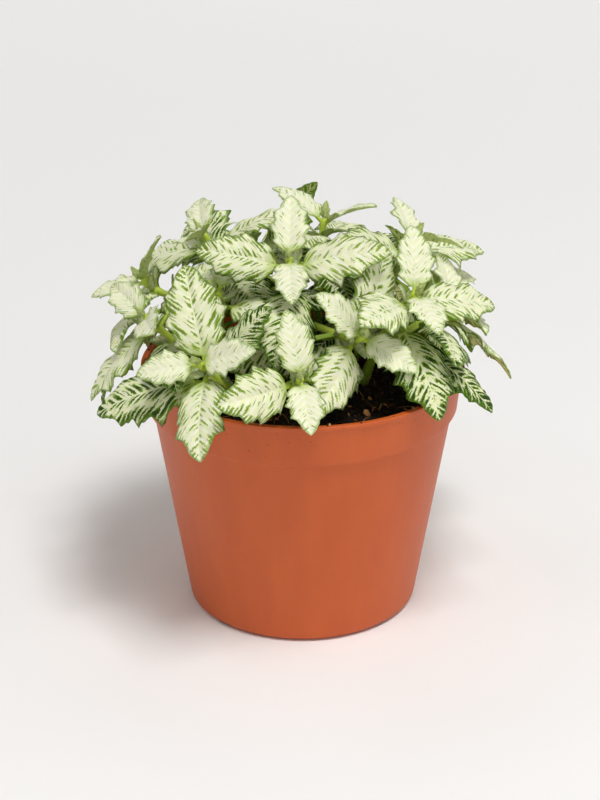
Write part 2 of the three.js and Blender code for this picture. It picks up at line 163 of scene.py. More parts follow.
def newMaterial(name, **surface):  # with the shader's own inputs, an underscore for each space
    material = bpy.data.materials.new(name)
    material.use_nodes = True
    tree = material.node_tree
    shader = tree.nodes["Principled BSDF"]
    for key, value in surface.items():
        shader.inputs[key.replace("_", " ")].default_value = value
    return material, tree, shader


def cellScale(mm):  # the scale of a pattern on Object coordinates, in metres, for cells of this width
    return 1 / (mm * metresPerMm)


def colourAndGrain(tree, shader, value, stops, grain, bump):
    # raises the skin by the grain, bump being its strength and its depth in metres, gives it the value's
    # colour on a ramp of the stops, and returns that colour
    ramp = node(tree, "ValToRGB", {0: value})
    elements = ramp.node.color_ramp.elements
    for element, (place, colour) in zip(elements, (stops[0], stops[-1])):
        element.position, element.color = place, linear(colour)
    for place, colour in stops[1:-1]:
        elements.new(place).color = linear(colour)
    raised = node(tree, "Bump", {"Height": grain, "Strength": bump[0], "Distance": bump[1]})
    tree.links.new(raised, shader.inputs["Normal"])
    tree.links.new(ramp, shader.inputs["Base Color"])
    return ramp


# the pot: an injection-moulded nursery pot

potForm = {
    "sides": 192, "height": 95, "rimRadius": 60, "lipWidth": 2.2, "lipHeight": 1.6, "lipStep": 0.8,
    "collarHeight": 16, "collarTaper": 1.6, "shoulder": 1.6, "baseRadius": 43, "baseChamfer": 1.8,
    "wall": 1.2, "footWidth": 4, "hubRadius": 15, "channelDepth": 2, "channelDraft": 1,
    "floorThickness": 1.4,
    "softEdge": 0.45,  # how far a moulded edge is rounded from its corner
    "softShare": 0.45,  # at most this share of the shorter edge beside it
    "cornerSteps": 4,
    "wallStep": 3,  # rows up the wall are about this far apart
    "drains": 8, "drainRadius": 4, "drainCircle": 27, "drainSides": 24,
    "notches": 4, "notchWidth": 5, "notchHeight": 1.5,
    "sharpAngle": 38,  # degrees, past which an edge is shaded sharp
}
collarFoot = potForm["height"] - potForm["collarHeight"]
collarFootRadius = potForm["rimRadius"] - potForm["lipStep"] - potForm["collarTaper"]
bodyTopRadius = collarFootRadius - potForm["shoulder"]
floorTop = potForm["channelDepth"] + potForm["floorThickness"]


def innerRadius(height):
    slope = (bodyTopRadius - potForm["baseRadius"]) / collarFoot
    return potForm["baseRadius"] + slope * height - potForm["wall"]


def softProfile(corners, form):
    # each inner corner becomes a quadratic curve that leaves its edges at the soft edge's distance or less,
    # and long edges get points in between
    corners = np.array(corners, float)
    line = [corners[0]]
    u = np.linspace(0, 1, form["cornerSteps"] + 1)[:, None]
    for before, corner, after in zip(corners, corners[1:], corners[2:]):
        back, on = before - corner, after - corner
        shorter = min(np.linalg.norm(back), np.linalg.norm(on))
        reach = min(form["softEdge"], form["softShare"] * shorter)
        start, end = corner + unit(back) * reach, corner + unit(on) * reach
        count = int(np.linalg.norm(start - line[-1]) / form["wallStep"])
        line += list(line[-1] + (start - line[-1]) * (np.arange(1, count + 1) / (count + 1))[:, None])
        line += list((1 - u) ** 2 * start + 2 * u * (1 - u) * corner + u * u * end)
    return np.array([*line, corners[-1]])


def turnedBody(profile, sides):
    # the profile's points (radius, height) turned round Z, its first and last on the axis as single points
    angle = 2 * np.pi * np.arange(sides) / sides
    radius, height = profile[1:-1].T
    ring = np.stack([np.outer(radius, np.cos(angle)), np.outer(radius, np.sin(angle))], -1)
    rings = np.concatenate([ring, np.repeat(height, sides).reshape(-1, sides, 1)], -1).reshape(-1, 3)
    poles = [[0, 0, profile[0][1]], [0, 0, profile[-1][1]]]
    return np.concatenate([rings, poles]), closedFaces(len(radius), sides)


def cutAway(piece, cutter):
    # cuts the cutter's volume out of the piece with a Boolean modifier that is applied at once
    cut = piece.modifiers.new("cut", "BOOLEAN")
    cut.operation, cut.object, cut.solver = "DIFFERENCE", cutter, "EXACT"
    done = bpy.data.meshes.new_from_object(piece.evaluated_get(bpy.context.evaluated_depsgraph_get()))
    piece.modifiers.clear()
    piece.data = done
    bpy.data.objects.remove(cutter)


def boxPoints(low, high):  # the lower four corners, then the upper four, each row anticlockwise
    return np.array([[x, y, z] for z in (low[2], high[2]) for x, y in
                     ((low[0], low[1]), (high[0], low[1]), (high[0], high[1]), (low[0], high[1]))])


def buildPot(material):
    form = potForm
    ringOut = form["baseRadius"] - form["baseChamfer"]
    ringIn = ringOut - form["footWidth"]
    lipFoot = form["height"] - form["lipHeight"]
    slope = (bodyTopRadius - form["baseRadius"]) / collarFoot
    corners = [
        (0, 0), (form["hubRadius"], 0), (form["hubRadius"] + form["channelDraft"], form["channelDepth"]),
        (ringIn - form["channelDraft"], form["channelDepth"]), (ringIn, 0), (ringOut, 0),
        (form["baseRadius"] + slope * form["baseChamfer"], form["baseChamfer"]),
        (bodyTopRadius, collarFoot), (collarFootRadius, collarFoot),
        (form["rimRadius"] - form["lipStep"], lipFoot), (form["rimRadius"], lipFoot),
        (form["rimRadius"], form["height"]), (form["rimRadius"] - form["lipWidth"], form["height"]),
        (collarFootRadius - form["wall"], collarFoot + form["wall"]),
        (innerRadius(collarFoot - form["wall"]), collarFoot - form["wall"]),
        (innerRadius(floorTop), floorTop), (0, floorTop),
    ]
    body = Body()
    body.add(*turnedBody(softProfile(corners, form), form["sides"]))
    pot = meshPiece("nursery_pot", body, [material])
    cutters = Body()
    below, above = -floorTop, 2 * floorTop
    drain = np.array([(0, below), (form["drainRadius"], below), (form["drainRadius"], above), (0, above)])
    points, faces = turnedBody(drain, form["drainSides"])
    for angle in 2 * np.pi * np.arange(form["drains"]) / form["drains"]:
        cutters.add(points + form["drainCircle"] * np.array([math.cos(angle), math.sin(angle), 0]), faces)
    middle, reach = ringOut - form["footWidth"] / 2, 1.5 * form["footWidth"]
    half, tall = form["notchWidth"] / 2, form["notchHeight"]
    notch = boxPoints((middle - reach, -half, -tall), (middle + reach, half, tall))
    faces = np.concatenate([gridFaces(2, 4), [[3, 2, 1, 0], [4, 5, 6, 7]]])
    for angle in 2 * np.pi * (np.arange(form["notches"]) + 0.5) / form["notches"]:
        cos, sin = math.cos(angle), math.sin(angle)
        cutters.add(notch @ np.array([[cos, sin, 0], [-sin, cos, 0], [0, 0, 1]]), faces)
    cutAway(pot, meshPiece("drain_cutters", cutters, [material]))
    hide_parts("pot")
    pot.data.set_sharp_from_angle(angle=math.radians(form["sharpAngle"]))
    return pot


# the soil: moist peat with bark crumbs and fibres

soilForm = {
    "belowRim": 8, "mound": 4, "lump": 0.9,
    "waves": ((0.21, 1.3), (0.19, -0.4), (0.37, -0.31)), "lastWave": 0.6,
    "gap": 0.3,  # between the soil and the pot
    "rings": 76, "sides": 240,
    "grain": [(7, 0.8), (3.1, 0.6), (1.5, 0.35)],  # lattice cell and height of each octave of its roughness
    "grainSeed": 40,
    "edgeFade": 3,  # the roughness dies out this far from the wall
}
soilRim = potForm["height"] - soilForm["belowRim"]
soilRadius = innerRadius(collarFoot) + potForm["collarTaper"] / 2


def soilHeight(x, y):
    # a mound with lumps sin(ax + b) cos(cy + d) + last sin(ex + fy), as in the solid, and both fade with the
    # squared radius
    (a, b), (c, d), (e, f) = soilForm["waves"]
    lumps = np.sin(a * x + b) * np.cos(c * y + d) + soilForm["lastWave"] * np.sin(e * x + f * y)
    fade = 1 - (x * x + y * y) / soilRadius ** 2
    return soilRim + (soilForm["mound"] + soilForm["lump"] * lumps) * fade


def roughSoilHeight(x, y):  # the mound and the octaves of its roughness
    fade = smooth(soilRadius - np.hypot(x, y), 0, soilForm["edgeFade"])
    rough = sum(high * latticeNoise(x, y, cell, soilForm["grainSeed"] + i)
                for i, (cell, high) in enumerate(soilForm["grain"]))
    return soilHeight(x, y) + rough * fade


def buildSoil(material):
    form = soilForm
    bottom, below = floorTop + form["gap"], collarFoot - potForm["wall"]
    side = [(0, bottom), *((innerRadius(height) - form["gap"], height) for height in (bottom, below))]
    top = [(radius, soilRim) for radius in np.linspace(soilRadius, 0, form["rings"])]
    points, faces = turnedBody(np.array([*side, *top], float), form["sides"])
    onTop = points[:, 2] > below
    points[onTop, 2] = roughSoilHeight(points[onTop, 0], points[onTop, 1])
    body = Body()
    body.add(points, faces)
    soil = meshPiece("potting_soil", body, [material])
    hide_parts("soil")
    return soil


crumbForm = {
    "seed": 12,
    "kinds": [  # how many, smallest and largest size, width and height by the size, tone from black to tan
        {"count": 2200, "size": (0.5, 2.6), "flat": (0.8, 0.7), "tone": (0.0, 0.45), "on": "soil"},  # crumbs
        {"count": 230, "size": (1.4, 4.4), "flat": (0.5, 0.22), "tone": (0.35, 1.0), "on": "soil"},  # bark
        {"count": 70, "size": (0.5, 1.7), "flat": (0.7, 0.5), "tone": (0.1, 0.8), "on": "lip"},  # spilt ones
    ],
    "steps": 6,  # of a lump, round it and from end to end
    "vary": (0.72, 1.2),  # a lump's points are pushed in and out by this
    "raised": 0.2,  # its centre lies this share of its size over the ground
    "offWall": 2, "lipInset": (0.4, 0.5),  # from the lip's inner and outer edge
}
fibreForm = {
    "count": 80, "length": (3, 12), "radius": (0.08, 0.2), "taper": 0.5, "bend": 0.12, "tone": (0.3, 0.95),
    "offWall": (5, 1.5),  # its middle and all of it
    "lift": 0.6, "arch": 0.8,
    "follow": 0.4,  # how much it follows the soil's roughness
    "sides": 5, "steps": 9, "nose": 0.2,
}


def turnsAbout(rng, count):
    # random turns: each matrix has a random axis and a direction square to it
    first = unit(rng.normal(size=(count, 3)))
    second = unit(np.cross(first, rng.normal(size=(count, 3))))
    return np.stack([first, second, np.cross(first, second)], 1)


def lumpBody(rng, centres, sizes):
    # spheres, each stretched by its sizes, with every point pushed in or out at random, then turned
    steps = crumbForm["steps"]
    polar = np.linspace(0, np.pi, steps + 1)
    ball, faces = turnedBody(np.stack([np.sin(polar), np.cos(polar)], -1), steps)
    faces = faces[:, ::-1]  # because this profile runs from the top down
    count = len(centres)
    shaped = ball[None] * rng.uniform(*crumbForm["vary"], (count, len(ball), 1)) * sizes[:, None, :]
    points = shaped @ turnsAbout(rng, count) + centres[:, None, :]
    step = np.arange(count)[:, None, None] * len(ball)
    return points.reshape(-1, 3), np.where(faces >= 0, faces + step, -1).reshape(-1, 4), len(ball)


def scattered(rng, count, inner, outer):
    # places evenly over the ring between two radii
    radius = np.sqrt(inner ** 2 + (outer ** 2 - inner ** 2) * rng.uniform(0, 1, count))
    angle = rng.uniform(0, 2 * np.pi, count)
    return radius * np.cos(angle), radius * np.sin(angle)


def addFibres(body, rng):
    # thin bent tubes that arch over the soil, pulled in where they would meet the wall
    form = fibreForm
    for _ in range(form["count"]):
        length, radius = rng.uniform(*form["length"]), rng.uniform(*form["radius"])
        x, y = scattered(rng, 1, 0, soilRadius - form["offWall"][0])
        heading, bend = rng.uniform(0, 2 * np.pi), rng.uniform(-form["bend"], form["bend"])
        along = np.linspace(-0.5, 0.5, form["steps"]) * length
        turned = heading + bend * along
        x, y = x + along * np.cos(turned), y + along * np.sin(turned)
        pull = np.minimum(1, (soilRadius - form["offWall"][1]) / np.hypot(x, y))
        x, y = x * pull, y * pull
        lift = form["lift"] + form["arch"] * rng.uniform(0, 1) * np.cos(np.pi * along / length)
        ground = roughSoilHeight(x, y) * form["follow"] + soilHeight(x, y) * (1 - form["follow"])
        radii = radius * (1 - form["taper"] * np.abs(along / length))
        points, faces = tubeSurface(np.stack([x, y, ground + lift], -1), radii, form["sides"], form["nose"],
                                    form["nose"])
        body.add(points, faces, crumb=rng.uniform(*form["tone"]))


def buildCrumbs(material):
    form = crumbForm
    rng = np.random.default_rng(form["seed"])
    body = Body()
    fromInside, fromOutside = form["lipInset"]
    rim, lip = potForm["rimRadius"], potForm["lipWidth"]
    rings = {"soil": (0, soilRadius - form["offWall"]), "lip": (rim - lip + fromInside, rim - fromOutside)}
    for kind in form["kinds"]:
        count, (small, large) = kind["count"], kind["size"]
        x, y = scattered(rng, count, *rings[kind["on"]])
        size = small + (large - small) * rng.uniform(0, 1, count) ** 2
        sizes = np.stack([size, size * kind["flat"][0], size * kind["flat"][1]], -1) / 2
        ground = roughSoilHeight(x, y) if kind["on"] == "soil" else potForm["height"]
        centres = np.stack([x, y, ground + form["raised"] * size], -1)
        points, faces, perLump = lumpBody(rng, centres, sizes)
        body.add(points, faces, crumb=np.repeat(rng.uniform(*kind["tone"], count), perLump)[:, None])
    addFibres(body, rng)
    crumbs = meshPiece("soil_crumbs", body, [material])
    return crumbs


# the shoots: where the cuttings grow, as in the solids

stemForm = {
    "footRadius": 2.2, "tipRadius": 1.1, "buried": 22,
    "lean": 0.3, "leanGrowth": 0.008,  # how far a tip leans outwards, and more for each mm from the middle
    "sunward": 0.4,  # and how far towards the light
    "forkSpread": 0.9, "riseShare": 0.4, "tipShare": 0.35,
    "sides": 14, "step": 0.9, "noses": (0.4, 0.7),  # of the foot and the tip
    "knuckle": 0.28,  # a stem is this much thicker where leaves leave it
    "knuckleLength": 1.5,
}
cuttings = [
    {"root": (-15, 8), "shoots": [
        {"tip": (-37, 19, 138), "pairs": 4, "turn": 85},
        {"tip": (-60, 21, 119), "pairs": 4, "turn": 160, "from": 0.5}]},
    {"root": (-4, -6), "shoots": [
        {"tip": (-5, -18, 142), "pairs": 4, "turn": 90},
        {"tip": (21, -35, 119), "pairs": 3, "turn": 150, "from": 0.5}]},
    {"root": (20, -10), "shoots": [
        {"tip": (40, -24, 131), "pairs": 4, "turn": 100},
        {"tip": (55, 4, 117), "pairs": 4, "turn": 110, "from": 0.5}]},
    {"root": (-16, -26), "shoots": [
        {"tip": (-36, -50, 115), "pairs": 4, "turn": 5},
        {"tip": (-1, -56, 112), "pairs": 3, "turn": 105, "from": 0.5}]},
    {"root": (6, 18), "shoots": [
        {"tip": (8, 30, 140), "pairs": 4, "turn": 150},
        {"tip": (-23, 55, 117), "pairs": 4, "turn": 100, "from": 0.5}]},
    {"root": (24, 16), "shoots": [
        {"tip": (42, 31, 132), "pairs": 4, "turn": 125},
        {"tip": (16, 60, 115), "pairs": 4, "turn": 170, "from": 0.5},
        {"tip": (50, 33, 114), "pairs": 3, "turn": 50, "from": 0.45}]},
    {"root": (-28, -8), "shoots": [
        {"tip": (-57, -13, 118), "pairs": 4, "turn": 120},
        {"tip": (-31, -14, 128), "pairs": 3, "turn": 60, "from": 0.4}]},
]


def curvePoint(control, t):  # cubic Bezier of four control points
    t = np.asarray(t, float)[..., None]
    a, b, c, d = control
    return (1 - t) ** 3 * a + 3 * t * (1 - t) ** 2 * b + 3 * t * t * (1 - t) * c + t ** 3 * d


def curveDirection(control, t):  # from just before t to just after it
    step = 1e-4
    return unit(curvePoint(control, np.minimum(t + step, 1)) - curvePoint(control, np.maximum(t - step, 0)))


def crossAxes(direction):  # two axes square to a direction, the first from the X axis
    across = unit(np.array([1.0, 0, 0]) - direction * direction[..., :1])
    return across, np.cross(direction, across)


def tubeSurface(path, radii, sides, footNose, tipNose):
    # circles of the given radii round a path, each square to it, and a nose of the given length at both ends
    direction = unit(np.gradient(path, axis=0))
    across, over = crossAxes(direction)
    angle = 2 * np.pi * np.arange(sides) / sides
    round_ = across[:, None] * np.cos(angle)[:, None] + over[:, None] * np.sin(angle)[:, None]
    rings = (path[:, None] + round_ * np.asarray(radii)[:, None, None]).reshape(-1, 3)
    noses = [path[0] - direction[0] * footNose, path[-1] + direction[-1] * tipNose]
    return np.concatenate([rings, noses]), closedFaces(len(path), sides)


def growShoots():
    shoots = []
    for number, cutting in enumerate(cuttings):
        x, y = cutting["root"]
        mainControl = None
        for row in cutting["shoots"]:
            tip = np.array(row["tip"], float)
            start, rise = np.array([x, y, soilHeight(x, y) - stemForm["buried"]]), upward
            if "from" in row:
                start = curvePoint(mainControl, row["from"])
                away = unit(np.array([*(tip - start)[:2], 0]))
                rise = unit(curveDirection(mainControl, row["from"]) + away * stemForm["forkSpread"])
            reach = np.linalg.norm(tip - start)
            outward = np.array([tip[0], tip[1], 0])
            slope = stemForm["lean"] + stemForm["leanGrowth"] * np.linalg.norm(outward)
            end = unit(unit(outward) * slope + np.array([0, -stemForm["sunward"], 1]))
            control = np.array([start, start + rise * stemForm["riseShare"] * reach,
                                tip - end * stemForm["tipShare"] * reach, tip])
            if mainControl is None:
                mainControl = control
            place = {"number": len(shoots), "cutting": number, "control": control, "reach": reach}
            shoots.append({**row, **place})
    return shoots


# the leaves: their places and forms, as in the solids

bladeForm = {
    "length": 43, "widthShare": 0.6, "youngWidthShare": 0.68, "baseFullness": 0.66, "tipFullness": 0.9,
    "stalkHalfWidth": 1.0, "youngStalkShare": 0.55, "rootInset": 0.7, "toothOut": 1.1, "toothIn": 0.83,
    "toothPeak": 0.72, "waves": 2.6, "waveShift": 0.4,
}
leafAges = [
    {"down": 1.5, "size": 0.5, "stalk": 3, "angle": 56, "droop": 30, "light": 0.1, "level": 0,
     "fold": 0.34, "arch": 0.25, "wave": 0.7, "teeth": 4},
    {"down": 8, "size": 0.75, "stalk": 6, "angle": 62, "droop": 42, "light": 0.2, "level": 0.2,
     "fold": 0.26, "arch": 0.4, "wave": 1.2, "teeth": 4},
    {"down": 17, "size": 0.94, "stalk": 9, "angle": 66, "droop": 50, "light": 0.3, "level": 0.4,
     "fold": 0.22, "arch": 0.45, "wave": 1.6, "teeth": 5},
    {"down": 27, "size": 1.0, "stalk": 12, "angle": 68, "droop": 54, "light": 0.4, "level": 0.5,
     "fold": 0.2, "arch": 0.45, "wave": 1.8, "teeth": 6},
]
leafVary = {"turn": 8, "angle": 6, "roll": 10, "droop": 8, "size": 0.08, "phase": 0.5}
spacing = {
    "leaf": 2.8, "stem": 3.8, "pot": 2.4,  # least room from a leaf's test points to those of other pieces
    "rows": 12, "columns": 9, "stalk": (0.25, 0.5, 0.75), "stemStep": 2.5,  # where those points lie
    "nearStem": 0.15,  # leaves of one shoot may meet up to this share of their length
    "farApart": 0.6,  # of two leaves' lengths together, past which they aren't tested
    "tight": -0.2,  # a leaf with less room than this isn't grown
    "batches": (1, 15, 64, 150),  # so many bends are tried at once, then all the rest
    "strides": (6, 1),  # a coarse look first, which drops most bends that can't be clear
}
bendStep = {"pitch": 9, "yaw": 11, "roll": 16, "shrink": 0.09}
bendReach = {"pitch": 4, "yaw": 3, "roll": 2, "shrink": 3}
bendCost = {"pitch": 1, "yaw": 1, "roll": 2, "shrink": 3}
sunward = unit(np.array([0, -0.4, 1]))  # where the light comes from that the leaves turn to


def halfWidth(leaf, v):
    # v^p (1 - v)^q, scaled to the half width where it is widest, and a stalk's width that fades to the tip
    p, q = bladeForm["baseFullness"], bladeForm["tipFullness"]
    widest = p / (p + q)
    u = np.clip(v, 0, 1)
    shape = (u / widest) ** p * ((1 - u) / (1 - widest)) ** q
    return leaf["halfWidth"] * shape + leaf["stalkHalf"] * (1 - u) ** 2


def onLeaf(leaf, v, t, lift):
    # the rib droops in an arc of radius path / droop, and the blade's height over it is
    # fold x - arch x^2 / half width + wave at the margin + lift, x being the distance from the rib
    x = np.abs(t) * halfWidth(leaf, v)
    share = x / leaf["halfWidth"]
    ahead = np.where(t > 0, bladeForm["waveShift"], 0)
    wave = np.sin(2 * np.pi * (bladeForm["waves"] * v + leaf["phase"] + ahead))
    height = leaf["fold"] * x - leaf["arch"] * share * x + leaf["wave"] * share * share * wave + lift
    radius = leaf["path"] / leaf["droop"]
    turned = (leaf["stalk"] + v * leaf["length"]) / radius
    forward, rise = (radius + height) * np.sin(turned), (radius + height) * np.cos(turned) - radius
    return (leaf["root"] + leaf["out"] * forward[..., None] + leaf["up"] * rise[..., None]
            + leaf["side"] * (np.sign(t) * x)[..., None])


def shapeLeaves(seat, bends):
    # the seat's leaf under each bend (pitch, yaw, roll, shrink), as one row of frames and sizes
    shoot, row, index = seat["shoot"], leafAges[seat["age"]], seat["index"]
    place = 1 - row["down"] / shoot["reach"]
    direction = curveDirection(shoot["control"], place)
    across, over = crossAxes(direction)
    pitch, yaw, roll, shrink = bends.T[:, :, None]
    ownTurn = leafVary["turn"] * spread(index, 1) + bendStep["yaw"] * yaw
    turn = np.radians(shoot["turn"] + 90 * seat["age"] + 180 * seat["facing"] + ownTurn)
    angle = np.radians(row["angle"] + leafVary["angle"] * spread(index, 2) + bendStep["pitch"] * pitch)
    out = direction * np.cos(angle) + (across * np.cos(turn) + over * np.sin(turn)) * np.sin(angle)
    out[:, 2] = np.where(out[:, 2] > 0, out[:, 2] * (1 - row["level"]), out[:, 2])
    out = unit(out)
    up = unit(direction - out * (out @ direction)[:, None]) * (1 - row["light"])
    up = unit(up + row["light"] * (sunward - out * (out @ sunward)[:, None]))
    rolled = np.radians(leafVary["roll"] * spread(index, 3) + bendStep["roll"] * roll)
    up = up * np.cos(rolled) + np.cross(out, up) * np.sin(rolled)
    size = row["size"] * (1 + leafVary["size"] * spread(index, 4)) * (1 - bendStep["shrink"] * shrink)
    length = bladeForm["length"] * size
    young, grown = bladeForm["youngWidthShare"], bladeForm["widthShare"]
    stalkShare = bladeForm["youngStalkShare"] + (1 - bladeForm["youngStalkShare"]) * row["size"]
    return {
        **row, **seat, "root": curvePoint(shoot["control"], place),
        "out": out[:, None], "up": up[:, None], "side": np.cross(up, out)[:, None],
        "length": length, "path": row["stalk"] + length,
        "halfWidth": length * (young + (grown - young) * row["size"]) / 2,
        "stalkHalf": bladeForm["stalkHalfWidth"] * stalkShare,
        "droop": np.radians(row["droop"] + leafVary["droop"] * spread(index, 5)),
        "phase": leafVary["phase"] * spread(index, 6),
    }


def testPlaces():
    # where a leaf is tested against its neighbours: some points of its stalk, then a grid over its blade
    rows = np.arange(spacing["rows"] + 1) / spacing["rows"]
    columns = 2 * np.arange(spacing["columns"]) / (spacing["columns"] - 1) - 1
    v, t = np.meshgrid(rows, columns, indexing="ij")
    return v.ravel(), t.ravel(), len(spacing["stalk"]) + int((v.ravel() < spacing["nearStem"]).sum())


def roomToPot(points):
    # distance to the soil's height and the pot's wall, or past the rim to the rim
    x, y, z = np.moveaxis(points, -1, 0)
    radius = np.hypot(x, y)
    lipIn = potForm["rimRadius"] - potForm["lipWidth"]
    pastRim = np.maximum(radius - potForm["rimRadius"], lipIn - radius)
    above = np.hypot(np.maximum(0, pastRim), z - potForm["height"])
    inside = np.minimum(innerRadius(collarFoot) - radius, z - soilHeight(x, y))
    beside = np.where(radius > lipIn, radius - potForm["rimRadius"], inside)
    return np.where(z > potForm["height"], above, beside)


def leastGaps(points, others, skip=0):
    # least distance from each row of points p to the others q, without the pairs of the first skip of both:
    # |p - q|^2 as the product of (-2p, |p|^2, 1) and (q, 1, |q|^2)
    rows, each = points.shape[:2]
    left = np.concatenate([-2 * points, (points ** 2).sum(-1)[..., None], np.ones((rows, each, 1))], -1)
    right = np.concatenate([others, np.ones((len(others), 1)), (others ** 2).sum(-1)[:, None]], -1)
    squares = (left.reshape(-1, 5) @ right.T).reshape(rows, each, -1)
    squares[:, :skip, :skip] = np.inf
    return np.sqrt(np.maximum(squares.min(axis=2).min(axis=1), 0))


def clearLeaf(seat, bends, placed, stems, places):
    # the first bend, in order of effort, that leaves room for all that grew before, or else the roomiest
    v, t, near = places
    stalkAt = np.array(spacing["stalk"])
    best, bestRoom, first = None, -np.inf, 0
    for count in (*spacing["batches"], len(bends)):
        tried = bends[first:first + count]
        first += count
        if not len(tried):
            break
        leaf = shapeLeaves(seat, tried)
        stalk = onLeaf(leaf, -stalkAt * leaf["stalk"] / leaf["length"], np.zeros(len(stalkAt)), 0)
        points = np.concatenate([stalk, onLeaf(leaf, v, t, 0)], axis=1)
        middle = onLeaf(leaf, np.array([0.5]), np.zeros(1), 0)[:, 0]
        room = roomToPot(points).min(axis=1) - spacing["pot"]
        neighbours = []
        for other in placed:
            apart = np.linalg.norm(middle - other["middle"], axis=1)
            close = apart <= spacing["farApart"] * (leaf["path"][:, 0] + other["path"])
            if close.any():
                neighbours.append((apart.min(), other, close, near if other["shoot"] is seat["shoot"] else 0))
        neighbours.sort(key=lambda one: one[0])
        for shoot, stemPoints in stems:
            live = np.flatnonzero((room > bestRoom) & (room >= spacing["tight"]))
            if shoot is not seat["shoot"] and len(live):
                ownCutting = near if shoot["cutting"] == seat["shoot"]["cutting"] else 0
                gaps = leastGaps(points[live][:, ownCutting:], stemPoints)
                room[live] = np.minimum(room[live], gaps - spacing["stem"])
        for stride in spacing["strides"]:
            start = near if stride > 1 else 0
            for _, other, close, own in neighbours:
                live = np.flatnonzero(close & (room > bestRoom) & (room >= spacing["tight"]))
                if len(live):
                    skip = own if stride == 1 else 0
                    gaps = leastGaps(points[live, start::stride], other["points"][start::stride], skip)
                    room[live] = np.minimum(room[live], gaps - spacing["leaf"])
        clear = np.flatnonzero(room >= 0)
        pick = clear[0] if len(clear) else int(np.argmax(room))
        if room[pick] > bestRoom:
            fields = {key: value[pick, 0] if isinstance(value, np.ndarray) and value.ndim > 1 else value
                      for key, value in leaf.items()}
            best, bestRoom = {**fields, "points": points[pick], "middle": middle[pick]}, room[pick]
        if bestRoom >= 0:
            break
    return best, bestRoom


def growLeaves(shoots):
    # pair by pair from the tips down, each leaf clear of those before it, or left out where it has no room
    steps = [np.arange(-bendReach[key], bendReach[key] + 1) for key in ("pitch", "yaw", "roll")]
    steps.append(np.arange(bendReach["shrink"] + 1))
    bends = np.stack(np.meshgrid(*steps, indexing="ij"), -1).reshape(-1, len(steps))
    effort = (bends ** 2 * np.array(list(bendCost.values()))).sum(axis=1)
    bends = bends[np.argsort(effort, kind="stable")]
    stems = []
    for shoot in shoots:
        count = math.ceil(shoot["reach"] / spacing["stemStep"]) + 1
        stems.append((shoot, curvePoint(shoot["control"], np.linspace(0, 1, count))))
    places = testPlaces()
    placed = []
    index = 0
    for age in range(len(leafAges)):
        for shoot in [one for one in shoots if age < one["pairs"]]:
            for facing in (0, 1):
                seat = {"shoot": shoot, "age": age, "facing": facing, "index": index}
                leaf, room = clearLeaf(seat, bends, placed, stems, places)
                if room >= spacing["tight"]:
                    placed.append(leaf)
                index += 1
    return placed


# the leaf pieces: fine leaves on the same forms

fineLeaf = {
    "rowsPerTooth": 14, "columns": 23, "stalkRows": 7,
    "columnPower": 1.35,  # over 1 sets the columns closer together at the rib
    "halfThickness": 0.22, "ribDepth": 0.6, "ribHalf": 0.75, "stalkLift": 0.6,
    "ribbedFrom": 3,  # a leaf less than this from rib to margin has no rib below
    "bladeFrom": (-0.02, 0.1),  # where the round stalk becomes a flat blade, as shares of the blade
    "toothPower": 4, "edgePower": 6,  # the higher, the closer to the margin the teeth and its rounding stay
    "toothCurve": 1.5,  # over 1 hollows the sides of a tooth, which sharpens its point
    "smallTooth": 0.07, "smallTeeth": 2.3,  # how many to a tooth
    "smallAhead": (0.2, 0.6),  # where they start on either half
    "unevenTooth": 0.03, "unevenTurns": (2.4, 9, 1.7),  # by the tooth, the leaf and the half
    "sideVeins": 8, "veinLean": 0.84, "veinBend": 0.26, "veinShift": 0.25,
    "pillow": 0.9, "pillowHalf": 13,  # height between side veins, where the blade is this wide from the rib
    "pillowFrom": (0.2, 2.5), "pillowEdge": 0.25, "pillowYoung": 0.5,
    "youth": (1.0, 0.64, 0.34, 0.12), "youthVary": 0.08,  # how pale a leaf is, by age
}
budForm = {
    "length": (7, 4.4), "angle": (15, 8), "inset": (0.6, 0), "halfShare": 0.27, "fold": 0.5, "arch": 0.35,
    "wave": 0.12, "droop": -28, "stalk": 0.9, "stalkHalf": 0.45, "teeth": 3, "rowsPerTooth": 8,
    "columns": 11, "youth": 1.0,
}
axilForm = {
    "share": 0.7,  # of the stalks that have a side bud
    "length": (5, 9.5), "angle": 34, "angleVary": 8, "lean": 0.75, "rise": 0.9, "halfShare": 0.3,
    "fold": 0.45, "arch": 0.35, "wave": 0.15, "droop": 22, "stalk": 1.4, "stalkHalf": 0.45, "teeth": 3,
    "rowsPerTooth": 7, "columns": 11, "youth": 0.85,
}
hairForm = {
    "seed": 100, "perMm": 9, "length": (0.45, 0.95), "radius": 0.04, "lean": 0.45,
    "from": (0.25, 0.03),  # the share of a main stem and of a fork that is bare at its foot
    "rooted": 0.96,  # a hair starts at this share of the stem's radius
}
foliageSlots = {"upper": 0, "under": 1, "stem": 2, "hair": 3}  # the materials' places in a leafy stem


